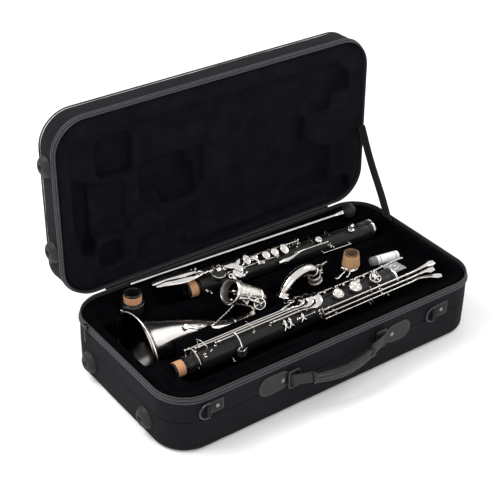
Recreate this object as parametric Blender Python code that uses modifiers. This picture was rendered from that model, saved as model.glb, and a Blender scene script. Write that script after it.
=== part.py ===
"""A bass clarinet taken apart and packed in its fitted zip case, standing open.

Metres, +Z up.  The origin is the centre of the case's underside, +X runs along the
case towards the tops of the two joints and +Y runs towards the lid's hinge.
"""
import math

import bmesh
import bpy
from mathutils import Matrix, Vector

# ---------------------------------------------------------------- driving dimensions
GAP = 0.0003                      # clearance between pieces that touch

CASE_LENGTH = 0.660
CASE_WIDTH = 0.336
CORNER_RADIUS = 0.061
BASE_HEIGHT = 0.112               # rim plane of the base, where the zip closes
PIPING_HEIGHT = 0.101
SHELL = 0.005                     # fabric covered board
LID_DEPTH = 0.054
LID_OPEN_DEG = 91.6               # held there by the stay strap

FOAM_WALL = 0.018                 # plush wall between the shell and the recesses
FOAM_TOP = 0.1085
DECK = 0.087                      # plush surface round the neck pieces
FRONT_DECK = 0.096                # round the lower end of the lower joint
PLATEAU = 0.1000                  # round the mouthpiece
PEG_SHELF = 0.1055
FOAM_FLOOR = 0.0095

LOWER_ORIGIN = (-0.264, -0.062, 0.085)
UPPER_ORIGIN = (-0.121, 0.112, 0.088)
UPPER_TURN_DEG = -3.65
LOWER_LENGTH = 0.475
UPPER_LENGTH = 0.409
LOWER_RADIUS = 0.0205
UPPER_RADIUS = 0.0188
BORE = 0.0115

MOUTHPIECE_XY = (-0.2315, 0.1115)
MOUTHPIECE_TOP = 0.130
RECEIVER_XY = (0.177, 0.0125)
RECEIVER_TOP = 0.1145
RECEIVER_FOOT = 0.0800
BELL_MOUTH = (-0.275, 0.029, 0.078)
BELL_RING = (-0.093, 0.019, 0.130)
BELL_MOUTH_RADIUS = 0.066
PEG_FOOT = (-0.2095, 0.1560, 0.1125)
PEG_COLLAR = (0.2570, 0.1360, 0.1100)
PEG_BALL_RADIUS = 0.0145
GREASE_ENDS = ((0.222, -0.0065, 0.0905), (0.268, -0.0140, 0.0905))
GREASE_RADIUS = 0.0088

ROD = 0.0017                      # radius of a key's hinge rod
ROD_SIDES = 8
CUP_SIDES = 16


# ---------------------------------------------------------------- scene and materials
for scene_object in list(bpy.data.objects):
    bpy.data.objects.remove(scene_object)

PARTS = bpy.data.collections.new("bass_clarinet")
CUTTERS = bpy.data.collections.new("cutters")
bpy.context.scene.collection.children.link(PARTS)
bpy.context.scene.collection.children.link(CUTTERS)


def make_material(name, color, roughness, metallic=0.0):
    material = bpy.data.materials.new(name)
    material.use_nodes = True
    shader = material.node_tree.nodes["Principled BSDF"]
    shader.inputs["Base Color"].default_value = (*color, 1.0)
    shader.inputs["Roughness"].default_value = roughness
    shader.inputs["Metallic"].default_value = metallic
    material.diffuse_color = (*color, 1.0)
    return material


PALETTE = {
    "fabric": make_material("black_woven_fabric", (0.020, 0.020, 0.024), 0.85),
    "plush": make_material("black_plush", (0.008, 0.008, 0.009), 0.95),
    "zip": make_material("zip_tape", (0.030, 0.030, 0.034), 0.70),
    "leather": make_material("grey_leather", (0.040, 0.040, 0.044), 0.45),
    "dark_steel": make_material("gunmetal", (0.080, 0.080, 0.088), 0.30, 1.0),
    "rubber": make_material("black_rubber", (0.018, 0.018, 0.019), 0.60),
    "resin": make_material("matte_black_resin", (0.016, 0.016, 0.017), 0.38),
    "nickel": make_material("nickel_silver", (0.800, 0.760, 0.700), 0.16, 1.0),
    "cork": make_material("cork", (0.620, 0.340, 0.180), 0.80),
    "white": make_material("white_plastic", (0.800, 0.800, 0.800), 0.35),
    "clear": make_material("clear_bag", (0.450, 0.450, 0.470), 0.15),
}


# ---------------------------------------------------------------- mesh helpers
def new_object(name, mesh, palette_key, parent=None, location=(0, 0, 0), turn=(0, 0, 0)):
    """One node: a mesh in its parent's frame, with its own material."""
    mesh.materials.clear()
    mesh.materials.append(PALETTE[palette_key])
    mesh.shade_smooth()
    mesh.set_sharp_from_angle(angle=math.radians(35))
    node = bpy.data.objects.new(name, mesh)
    node.parent = parent
    node.location = location
    node.rotation_euler = turn
    PARTS.objects.link(node)
    return node


def make_cutter(name, mesh, parent=None, location=(0, 0, 0)):
    """A hidden helper that a Boolean joins to a node or cuts from it."""
    cutter = bpy.data.objects.new(name, mesh)
    cutter.parent = parent
    cutter.location = location
    cutter.hide_render = True
    cutter.display_type = "WIRE"
    CUTTERS.objects.link(cutter)
    return cutter


def apply_boolean(node, cutter, operation):
    modifier = node.modifiers.new(cutter.name, "BOOLEAN")
    modifier.operation = operation
    modifier.solver = "EXACT"
    modifier.object = cutter


def make_frame(name, location, turn=(0, 0, 0), parent=None):
    frame = bpy.data.objects.new(name, None)
    frame.location = location
    frame.rotation_euler = turn
    frame.parent = parent
    PARTS.objects.link(frame)
    return frame


def mesh_from(bm, name="shape"):
    bmesh.ops.recalc_face_normals(bm, faces=bm.faces)
    mesh = bpy.data.meshes.new(name)
    bm.to_mesh(mesh)
    bm.free()
    return mesh


def evaluated_mesh(temporary):
    """The finished mesh of a temporary curve or turned profile, in its own frame."""
    PARTS.objects.link(temporary)
    depsgraph = bpy.context.evaluated_depsgraph_get()
    mesh = bpy.data.meshes.new_from_object(temporary.evaluated_get(depsgraph))
    bpy.data.objects.remove(temporary)
    bm = bmesh.new()
    bm.from_mesh(mesh)
    bmesh.ops.remove_doubles(bm, verts=bm.verts, dist=1e-6)
    bpy.data.meshes.remove(mesh)
    return mesh_from(bm)


def pointing(direction):
    """The rotation that turns local +Z to a direction."""
    return Vector(direction).to_track_quat("Z", "Y").to_matrix().to_4x4()


def tube(start, end, radius, sides=ROD_SIDES, end_radius=None):
    """A closed round bar from one point to another."""
    start, end = Vector(start), Vector(end)
    bm = bmesh.new()
    bmesh.ops.create_cone(
        bm, cap_ends=True, segments=sides, radius1=radius,
        radius2=radius if end_radius is None else end_radius,
        depth=(end - start).length,
        matrix=Matrix.Translation((start + end) / 2) @ pointing(end - start))
    return mesh_from(bm)


def ball(centre, radius, across=10, rings=7):
    bm = bmesh.new()
    bmesh.ops.create_uvsphere(bm, u_segments=across, v_segments=rings, radius=radius,
                              matrix=Matrix.Translation(centre))
    return mesh_from(bm)


def disc(centre, radius, height, axis=(0, 0, 1), sides=CUP_SIDES, stretch=1.0, turn_deg=0.0):
    """A flat round or oval plate, centred on a point."""
    bm = bmesh.new()
    bmesh.ops.create_cone(
        bm, cap_ends=True, segments=sides, radius1=radius, radius2=radius * 0.94,
        depth=height,
        matrix=(Matrix.Translation(centre) @ pointing(axis)
                @ Matrix.Rotation(math.radians(turn_deg), 4, "Z")
                @ Matrix.Diagonal((stretch, 1, 1, 1))))
    return mesh_from(bm)


def slab(centre, size, turn_deg=(0, 0, 0), rounding=0.0, steps=3, upright_only=True):
    """A box with its upright edges, or all its edges, rounded."""
    bm = bmesh.new()
    bmesh.ops.create_cube(bm, size=1.0, matrix=Matrix.Diagonal((*size, 1)))
    if rounding:
        edges = [e for e in bm.edges
                 if not upright_only or abs(e.verts[0].co.z - e.verts[1].co.z) > size[2] / 2]
        bmesh.ops.bevel(bm, geom=edges, offset=rounding, offset_type="OFFSET",
                        segments=steps, profile=0.5, affect="EDGES")
    place = Matrix.Translation(centre)
    for angle, axis in zip(turn_deg, "XYZ"):
        place = place @ Matrix.Rotation(math.radians(angle), 4, axis)
    bmesh.ops.transform(bm, matrix=place, verts=bm.verts)
    return mesh_from(bm)


def wire(points, radius, closed=False, radii=None, sides_level=1):
    """A bent round bar along a smooth list of points, with closed ends."""
    curve = bpy.data.curves.new("wire", "CURVE")
    curve.dimensions = "3D"
    curve.bevel_depth = radius
    curve.bevel_resolution = sides_level
    curve.use_fill_caps = not closed
    spline = curve.splines.new("POLY")
    spline.points.add(len(points) - 1)
    for index, (slot, point) in enumerate(zip(spline.points, points)):
        slot.co = (*point, 1.0)
        slot.radius = 1.0 if radii is None else radii[index] / radius
    spline.use_cyclic_u = closed
    return evaluated_mesh(bpy.data.objects.new("wire", curve))


def turned(profile, steps):
    """A profile of (radius, height) turned about Z; its outer side is listed top to bottom."""
    mesh = bpy.data.meshes.new("profile")
    points = [(radius, 0.0, height) for radius, height in profile]
    closed = min(radius for radius, _ in profile) > 0
    edges = [(i, i + 1) for i in range(len(points) - 1)]
    if closed:
        edges.append((len(points) - 1, 0))
    mesh.from_pydata(points, edges, [])
    body = bpy.data.objects.new("profile", mesh)
    screw = body.modifiers.new("turn", "SCREW")
    screw.axis = "Z"
    screw.steps = steps
    screw.render_steps = steps
    screw.use_merge_vertices = True
    screw.merge_threshold = 0.00001
    return evaluated_mesh(body)


def moved(mesh, matrix):
    mesh.transform(matrix)
    return mesh


def fused(name, palette_key, parent, pivot, meshes):
    """One solid made by uniting overlapping shapes; its origin is on its pivot."""
    shift = Matrix.Translation(-Vector(pivot))
    node = new_object(name, moved(meshes[0], shift), palette_key, parent, pivot)
    for index, mesh in enumerate(meshes[1:]):
        helper = make_cutter(f"{name}_add_{index}", moved(mesh, shift), parent, pivot)
        apply_boolean(node, helper, "UNION")
    return node


def around(s, angle_deg, distance):
    """A point beside a joint's tube: s along it, the angle from the top towards the front."""
    angle = math.radians(angle_deg)
    return Vector((s, -distance * math.sin(angle), distance * math.cos(angle)))


def arc_points(s, first_deg, last_deg, distance, count, end_distance=None):
    """Points of a strap that goes round a joint's tube."""
    end_distance = distance if end_distance is None else end_distance
    points = []
    for index in range(count):
        t = index / (count - 1)
        angle = first_deg + (last_deg - first_deg) * t
        points.append(around(s, angle, distance + (end_distance - distance) * t))
    return points


def smooth_path(points, steps):
    """A Catmull-Rom curve through the given points."""
    points = [Vector(p) for p in points]
    ends = [2 * points[0] - points[1], *points, 2 * points[-1] - points[-2]]
    path = []
    for a, b, c, d in zip(ends, ends[1:], ends[2:], ends[3:]):
        for index in range(steps):
            t = index / steps
            path.append(0.5 * ((2 * b) + (c - a) * t + (2 * a - 5 * b + 4 * c - d) * t ** 2
                               + (3 * b - a - 3 * c + d) * t ** 3))
    path.append(points[-1])
    return path


# ---------------------------------------------------------------- case shells and lining
def rounded_outline(length, width, radius, height, steps=6):
    """Points round a rectangle with round corners."""
    points = []
    for corner, (sx, sy) in enumerate(((1, 1), (-1, 1), (-1, -1), (1, -1))):
        centre = (sx * (length / 2 - radius), sy * (width / 2 - radius))
        for index in range(steps + 1):
            angle = math.radians(90 * corner + 90 * index / steps)
            points.append((centre[0] + radius * math.cos(angle),
                           centre[1] + radius * math.sin(angle), height))
    return points


def stacked(levels, closed):
    """A solid skinned over rounded outlines; each level is (outset from the case, height)."""
    bm = bmesh.new()
    loops = []
    for outset, height in levels:
        outline = rounded_outline(CASE_LENGTH + 2 * outset, CASE_WIDTH + 2 * outset,
                                  CORNER_RADIUS + outset, height)
        loops.append([bm.verts.new(point) for point in outline])
    following = loops[1:] + loops[:1] if closed else loops[1:]
    for first, second in zip(loops, following):
        for k in range(len(first)):
            n = (k + 1) % len(first)
            bm.faces.new((first[k], first[n], second[n], second[k]))
    if not closed:
        bm.faces.new(loops[0][::-1])
        bm.faces.new(loops[-1])
    return mesh_from(bm)


def tray(name, parent, height, centre, flip):
    """An open tray of covered board; flip turns its opening downwards."""
    mesh = stacked([(-0.008, 0.0), (-0.0023, 0.0023), (0.0, 0.008), (0.0, height),
                    (-SHELL, height), (-SHELL, 0.0090), (-0.0095, SHELL)], closed=False)
    if flip:
        mesh.transform(Matrix.Rotation(math.pi, 4, "X"))
    return new_object(name, mesh, "fabric", parent, centre)


def zip_band(name, parent, centre, low, high, ridge):
    """The zip band of one rim, with the ridge of piping that borders it."""
    out = -0.0004
    mesh = stacked([(out, high), (out, ridge + 0.0010), (out + 0.0011, ridge + 0.0006),
                    (out + 0.0011, ridge - 0.0006), (out, ridge - 0.0010), (out, low),
                    (out - 0.0042, low), (out - 0.0042, high)], closed=True)
    return new_object(name, mesh, "zip", parent, centre)


def foam_block(name, parent, low, high, centre_y):
    """The lining before its recesses are cut; its end against the tray has a chamfer."""
    inset = SHELL + 2 * GAP
    bm = bmesh.new()
    bm.from_mesh(slab((0, 0, 0), (CASE_LENGTH - 2 * inset, CASE_WIDTH - 2 * inset, high - low),
                      rounding=CORNER_RADIUS - inset, steps=6))
    tray_side = 1 if parent else -1
    edges = [e for e in bm.edges if all(v.co.z * tray_side > (high - low) * 0.49 for v in e.verts)]
    bmesh.ops.bevel(bm, geom=edges, offset=0.006, offset_type="OFFSET", segments=1,
                    affect="EDGES")
    return new_object(name, mesh_from(bm), "plush", parent, (0, centre_y, (low + high) / 2))


def carve(node, name, parent, low, high, rounding=0.012, turn_deg=0.0, steps=2):
    """Cuts a box shaped recess, given by two corners in the parent's frame."""
    low, high = Vector(low), Vector(high)
    recess = slab((0, 0, 0), high - low, rounding=rounding, steps=steps,
                  turn_deg=(0, 0, turn_deg))
    apply_boolean(node, make_cutter(name, recess, parent, (low + high) / 2), "DIFFERENCE")


def carve_round(node, name, parent, centre, radius, low, high):
    recess = tube((*centre, low), (*centre, high), radius, sides=20)
    apply_boolean(node, make_cutter(name, recess, parent), "DIFFERENCE")


def build_case_base():
    shell = tray("base_shell", None, PIPING_HEIGHT - 0.001, (0, 0, 0), flip=False)
    for index, (centre, size) in enumerate((((-0.249, 0.081), (0.026, 0.024)),
                                            ((0.234, 0.072), (0.032, 0.028)))):
        tab = slab((centre[0], -CASE_WIDTH / 2 - 0.0005, centre[1]), (size[0], 0.0036, size[1]))
        apply_boolean(shell, make_cutter(f"webbing_tab_{index}", tab), "UNION")

    foam = foam_block("base_foam", None, SHELL + 2 * GAP, FOAM_TOP, 0.0)
    above = FOAM_TOP + 0.02
    inside_x = CASE_LENGTH / 2 - FOAM_WALL
    inside_y = CASE_WIDTH / 2 - FOAM_WALL
    carve(foam, "plateau", None, (-inside_x, -inside_y, PLATEAU), (inside_x, 0.134, above),
          0.040, steps=4)
    carve(foam, "front_deck", None, (-0.290, -inside_y + 0.004, FRONT_DECK),
          (0.010, -0.034, above), 0.030, steps=3)
    carve(foam, "deck", None, (-0.008, -inside_y + 0.004, DECK), (inside_x - 0.004, 0.106, above),
          0.030, steps=3)
    carve(foam, "middle_deck", None, (-0.185, 0.030, DECK), (0.060, 0.1055, above), 0.020)
    carve(foam, "peg_shelf", None, (-0.285, 0.120, PEG_SHELF), (0.305, 0.1575, above), 0.010)
    carve(foam, "peg_ball_pit", None, (0.236, 0.1195, 0.093), (0.290, 0.1535, above), 0.010)
    carve(foam, "lower_joint_bed", None, (-0.270, -0.118, 0.061), (0.228, -0.037, above), 0.015)
    carve(foam, "lever_bed", None, (0.180, -0.118, 0.061), (0.308, -0.066, above), 0.010)
    carve(foam, "bell_mouth_bed", None, (-0.308, -0.040, FOAM_FLOOR), (-0.222, 0.0975, above), 0.012)
    carve(foam, "bell_body_bed", None, (-0.236, -0.016, 0.024), (-0.115, 0.069, above), 0.010)
    carve(foam, "bell_bow_bed", None, (-0.150, -0.024, 0.020), (-0.007, 0.045, above), 0.010)
    carve(foam, "neck_bow_bed", None, (-0.006, -0.018, 0.068), (0.132, 0.041, above), 0.010)
    carve(foam, "accessory_bed", None, (0.205, -0.031, 0.0800), (0.308, 0.040, above), 0.010)
    carve(foam, "bag_bed", None, (0.210, -0.061, 0.0800), (0.264, -0.024, above), 0.006)
    carve_round(foam, "mouthpiece_pit", None, MOUTHPIECE_XY, 0.0235, 0.020, above)
    carve(foam, "ligature_pit", None, (-0.2615, 0.1030, 0.0830), (-0.2315, 0.1170, above), 0.003)
    carve_round(foam, "receiver_pit", None, RECEIVER_XY, 0.0215, 0.024, above)
    upper_bed = slab((0.181, -0.003, 0.0165), (0.492, 0.050, 0.077), rounding=0.010, steps=2)
    cutter = make_cutter("upper_joint_bed", upper_bed)
    cutter.location = UPPER_ORIGIN
    cutter.rotation_euler = (0, 0, math.radians(UPPER_TURN_DEG))
    apply_boolean(foam, cutter, "DIFFERENCE")

    zip_band("base_zip_band", None, (0, 0, 0), PIPING_HEIGHT - 0.0006, BASE_HEIGHT - GAP,
             PIPING_HEIGHT + 0.0009)


def build_lid(hinge):
    """The lid is modelled shut, in the hinge's frame, and the hinge holds it open."""
    middle = -CASE_WIDTH / 2
    shell = tray("lid_shell", hinge, LID_DEPTH - 0.0106, (0, middle, LID_DEPTH), flip=True)

    foam = foam_block("lid_foam", hinge, 0.0035, LID_DEPTH - SHELL - 2 * GAP, middle)
    below = -0.02

    def hollow(name, x, y, depth, rounding=0.012):
        """x and y are ranges in the case's frame and depth is measured up from the rim."""
        carve(foam, name, hinge, (x[0], y[0] - CASE_WIDTH / 2, below),
              (x[1], y[1] - CASE_WIDTH / 2, depth), rounding)

    hollow("lid_main", (-0.180, 0.262), (-0.131, 0.118), 0.019, 0.020)
    hollow("lid_levers", (0.240, 0.300), (-0.131, -0.060), 0.019)
    hollow("lid_left", (-0.304, -0.170), (-0.131, 0.089), 0.036, 0.020)
    hollow("lid_bell_ring", (-0.172, -0.050), (-0.040, 0.062), 0.0425)
    hollow("lid_peg", (-0.235, 0.305), (0.110, 0.1595), 0.016, 0.008)
    hollow("lid_mouthpiece", (-0.2615, -0.2015), (0.070, 0.139), 0.024)

    zip_band("lid_zip_band", hinge, (0, middle, 0), GAP, 0.0102, 0.0088)

    pouch = slab((0.0603, -0.1707, LID_DEPTH + 0.0043), (0.397, 0.247, 0.0123),
                 rounding=0.0034, steps=2, upright_only=False)
    apply_boolean(shell, make_cutter("lid_pocket", pouch, hinge), "UNION")
    build_foot("lid_foot_back", hinge, -0.090, 0.030)
    build_foot("lid_foot_front", hinge, -0.253, 0.030)


def build_foot(name, parent, centre_y, centre_z):
    """A domed bumper with a moulded hole, on the left end of the case."""
    profile = [(0.006, 0.0115), (0.013, 0.010), (0.018, 0.005), (0.0195, 0.0),
               (0.0035, 0.0), (0.0035, 0.0115)]
    centre = (-CASE_LENGTH / 2 - GAP, centre_y, centre_z)
    new_object(name, moved(turned(profile, 12), pointing((-1, 0, 0))), "rubber", parent, centre)


def build_patch(name, centre, size, rivet_shift):
    """A sewn leather patch with its rivet."""
    front = -CASE_WIDTH / 2
    patch = slab((0, 0, 0), (*size, 0.0022), rounding=0.0165, steps=3)
    patch.transform(Matrix.Rotation(math.radians(90), 4, "X"))
    patch.transform(Matrix.Translation((centre[0], front - GAP - 0.0011, centre[1])))
    rivet = disc((centre[0] + rivet_shift, front - GAP - 0.0028, centre[1]), 0.0042, 0.0016,
                 (0, -1, 0), 12)
    fused(name, "leather", None, (centre[0], front, centre[1]), [patch, rivet])


def build_case_fittings():
    build_foot("base_foot_back", None, 0.092, 0.035)
    build_foot("base_foot_front", None, -0.083, 0.035)
    build_patch("patch_left", (-0.133, 0.072), (0.070, 0.040), 0.018)
    build_patch("patch_right", (0.131, 0.066), (0.062, 0.040), -0.016)

    strip = slab((0, 0, 0), (0.500, 0.0100, 0.0012))
    new_object("hinge_strip", strip, "fabric", None,
               (0, CASE_WIDTH / 2 + 0.0065, BASE_HEIGHT - 0.0035))

    strap_low = Vector((0.3175, 0.0760, FOAM_TOP + 0.0072))
    strap_high = Vector((0.3175, 0.1640, 0.2590))
    run = strap_high - strap_low
    strap = slab((0, 0, 0), (0.0014, 0.022, run.length), (math.degrees(-math.atan2(run.y, run.z)), 0, 0))
    new_object("stay_strap", strap, "zip", None, (strap_low + strap_high) / 2)


def build_handle():
    """Two loops hang on the patches and the grip hangs between them."""
    hang = -CASE_WIDTH / 2 - 0.0062
    for name, x in (("handle_loop_left", -0.099), ("handle_loop_right", 0.091)):
        outline = [(sx * 0.010, 0, -0.0165 + sz * 0.0165)
                   for sx, sz in ((1, 1), (-1, 1), (-1, -1), (1, -1))]
        new_object(name, wire(outline, 0.0016, closed=True), "dark_steel", None,
                   (x, hang, 0.0865))
    pivot = (-0.003, hang, 0.0865)
    route = smooth_path([(-0.0845, -0.1835, 0.070), (-0.066, -0.1880, 0.063),
                         (-0.003, -0.1945, 0.056), (0.058, -0.1880, 0.063),
                         (0.0765, -0.1835, 0.070)], 4)
    grip = moved(wire(route, 0.0056, sides_level=2), Matrix.Translation(-Vector(pivot)))
    new_object("handle_grip", grip, "leather", None, pivot)


def build_d_ring(name, x, z):
    """A D-ring that hangs on its webbing tab."""
    front = -CASE_WIDTH / 2 - 0.0050
    points = [(x - 0.001, front, z + 0.0125), (x - 0.001, front, z - 0.0125)]
    for index in range(1, 8):
        angle = math.radians(-90 - 180 * index / 8)
        points.append((x - 0.004 + 0.0155 * math.cos(angle), front,
                       z + 0.0150 * math.sin(angle)))
    pivot = (x - 0.001, front, z)
    mesh = moved(wire(points, 0.0016, closed=True), Matrix.Translation(-Vector(pivot)))
    new_object(name, mesh, "dark_steel", None, pivot)


def build_zip_slider(name, x, outward):
    """A slider parked at the hinge end of the zip, with its pull tab."""
    y = 0.098
    body = slab((x + outward * 0.0030, y, PIPING_HEIGHT + 0.0068), (0.0055, 0.011, 0.0065))
    tab = slab((x + outward * 0.0050, y - 0.0005, PIPING_HEIGHT - 0.010), (0.0012, 0.006, 0.030))
    fused(name, "dark_steel", None, (x + outward * 0.0030, y, PIPING_HEIGHT + 0.0068), [body, tab])


# ---------------------------------------------------------------- lower joint
def tube_along_x(name, palette_key, frame, profile, steps=24, fittings=()):
    """A turned piece whose profile heights run along the frame's X axis."""
    mesh = turned(profile, steps)
    mesh.transform(Matrix.Rotation(math.radians(90), 4, "Y"))
    return fused(name, palette_key, frame, (0, 0, 0), [mesh, *fittings])


def joint_profile(length, radius, tenon, cork_room, neck_end, neck, ring, socket):
    """Outer side from the socket end to the tenon tip, then the bore back again."""
    outer = [(ring, length), (ring, length - 0.0135), (radius + 0.001, length - 0.0137),
             (radius + 0.001, length - 0.034), (radius, length - 0.036), (radius, 0.050),
             (radius - 0.001, 0.0485), (neck, neck_end), (neck, 0.0245), (tenon, 0.0240),
             (tenon, 0.0200), (cork_room, 0.0198), (cork_room, 0.0042), (tenon, 0.0040),
             (tenon, 0.0)]
    inner = [(BORE, 0.0), (BORE, length - 0.0235), (socket, length - 0.0230), (socket, length)]
    return outer + inner


def post(s, angle_deg, surface, distance, size=0.0024):
    """A turned post with a ball head, screwed into a joint's tube."""
    height = distance - surface + 0.0012
    profile = [(0.0, height + size), (size * 0.80, height + size * 0.60),
               (size * 0.80, height - size * 0.60), (size * 0.45, height - size * 0.9),
               (size * 0.60, 0.0), (0.0, 0.0)]
    place = (Matrix.Translation(around(s, angle_deg, surface - 0.0012))
             @ pointing(around(0, angle_deg, 1.0)))
    return moved(turned(profile, 7), place)


def guard(s, first_deg, last_deg, distance, end_distance, surface, radius=0.0011):
    """A wire guard that stands on the tube and bridges the keys beside it."""
    path = [around(s, first_deg, surface - 0.0010),
            *arc_points(s, first_deg, last_deg, distance, 7, end_distance),
            around(s, last_deg, surface - 0.0010)]
    return wire(path, radius)


def rod_key(name, frame, ends, angle_deg, distance, extras, palette_key="nickel"):
    """A key whose hinge rod runs along the tube; extras are united with it."""
    start = around(ends[0], angle_deg, distance)
    end = around(ends[1], angle_deg, distance)
    return fused(name, palette_key, frame, (start + end) / 2, [tube(start, end, ROD), *extras])


def lower_surface(s):
    """Outside radius of the lower joint's tube at a distance from its tenon."""
    return 0.0165 if s < 0.0495 else LOWER_RADIUS


def build_lower_joint(frame):
    rod_lines = ((-16, 0.033, 0.236), (-3, 0.050, 0.246), (10, 0.086, 0.256), (23, 0.196, 0.268))
    touches = ((-18, 0.250, 0.0345), (-9, 0.264, 0.0360), (2, 0.278, 0.0370), (13, 0.292, 0.0375))
    fittings = []
    for angle, first, last in rod_lines:
        fittings.append(post(first - 0.0030, angle, lower_surface(first - 0.003), 0.0265))
        fittings.append(post(last + 0.0030, angle, LOWER_RADIUS, 0.0265, 0.0020))
    for s in (0.3130, 0.3560, 0.4020):
        fittings.append(post(s, -27, LOWER_RADIUS, 0.0270))
    for angle in (54, 70, 87):
        fittings.append(post(0.2942, angle, LOWER_RADIUS, 0.0300))
        fittings.append(post(0.4300, angle, LOWER_RADIUS, 0.0255, 0.0022))
    for s in (0.1090, 0.4120, 0.4490):
        fittings.append(post(s, 118, LOWER_RADIUS, 0.0260))
    fittings.append(guard(0.0430, -6, 84, 0.0235, 0.0225, 0.0165))
    fittings.append(guard(0.0620, -42, 16, 0.0325, 0.0300, LOWER_RADIUS))
    fittings.append(guard(0.4010, 44, 104, 0.0245, 0.0240, LOWER_RADIUS))
    tube_along_x("lower_body", "resin", frame,
                 joint_profile(LOWER_LENGTH, LOWER_RADIUS, 0.0133, 0.0118, 0.0465, 0.0165,
                               0.0205, 0.0150), fittings=fittings)
    tube_along_x("lower_tenon_cork", "cork", frame,
                 [(0.0136, 0.0196), (0.0136, 0.0044), (0.0121, 0.0044), (0.0121, 0.0196)])
    tube_along_x("lower_socket_ring", "nickel", frame,
                 [(0.0224, LOWER_LENGTH + 0.0004), (0.0226, LOWER_LENGTH - 0.0130),
                  (0.0208, LOWER_LENGTH - 0.0130), (0.0208, LOWER_LENGTH + 0.0004)])

    for index, ((angle, first, last), (side, s, height)) in enumerate(zip(rod_lines, touches)):
        touch = around(s, side, height)
        extras = [
            wire([around(last - 0.004, angle, 0.0265), around(last + 0.0015, angle - 1, 0.0305),
                  around(s - 0.003, side, height - 0.0010), touch], 0.0014),
            disc(touch, 0.0058, 0.0024, around(0, side, 1.0), 12, 1.30, 75),
        ]
        if index == 1:
            arm = [around(0.1215, turn, rise) for turn, rise in (
                (-3, 0.0270), (2, 0.0301), (18, 0.0302), (40, 0.0297), (60, 0.0290), (76, 0.0283))]
            extras.append(wire(arm, 0.0013))
            extras.append(disc(around(0.1215, 80, 0.0270), 0.0100, 0.0050,
                               around(0, 80, 1.0), 14))
        rod_key(f"pinky_key_{index + 1}", frame, (first, last), angle, 0.0265, extras)

    stack = ((0.3160, 0.3530, 0.3410, 0.0107), (0.3590, 0.3990, 0.3800, 0.0122),
             (0.4050, 0.4430, 0.4260, 0.0112))
    for index, (first, last, s, radius) in enumerate(stack):
        cup = around(s, 19, 0.0265)
        extras = [
            wire([around(s, -27, 0.0270), around(s, -8, 0.0300), around(s, 8, 0.0305),
                  cup + Vector((0, 0, 0.0015))], 0.0016),
            disc(cup, radius, 0.0052, around(0, 19, 1.0)),
        ]
        if index == 2:
            bridge = smooth_path([around(0.4410, -27, 0.0270), around(0.4560, -18, 0.0300),
                                  around(0.4750, -10, 0.0340), around(0.4980, -4, 0.0370)], 3)
            extras.append(wire(bridge, 0.0018))
        rod_key(f"stack_key_{index + 1}", frame, (first, last), -27, 0.0270, extras)

    spatulas = ((54, 0.0300, (0.547, -0.0250, 0.0210)), (70, 0.0300, (0.5375, -0.0345, 0.0160)),
                (87, 0.0300, (0.548, -0.0450, 0.0050)))
    for index, (angle, distance, tip) in enumerate(spatulas):
        end = around(0.4980, angle, distance)
        rise = end + Vector((0.018, 0, 0.001))
        arm = smooth_path([end - Vector((0.0073, 0, -0.0002)), end, rise, Vector(tip)], 3)
        extras = [
            wire(arm, 0.0022),
            disc(tip, 0.0060, 0.0027, (0.24, -0.21, 1.0), 12, 1.43, 11 - 21 * index),
            disc(around(0.3100 + 0.007 * index, angle, distance - 0.0040), 0.0026, 0.0060,
                 around(0, angle, 1.0), 7),
        ]
        rod_key(f"left_lever_{index + 1}", frame, (0.2970, 0.4985), angle, distance, extras)


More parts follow.
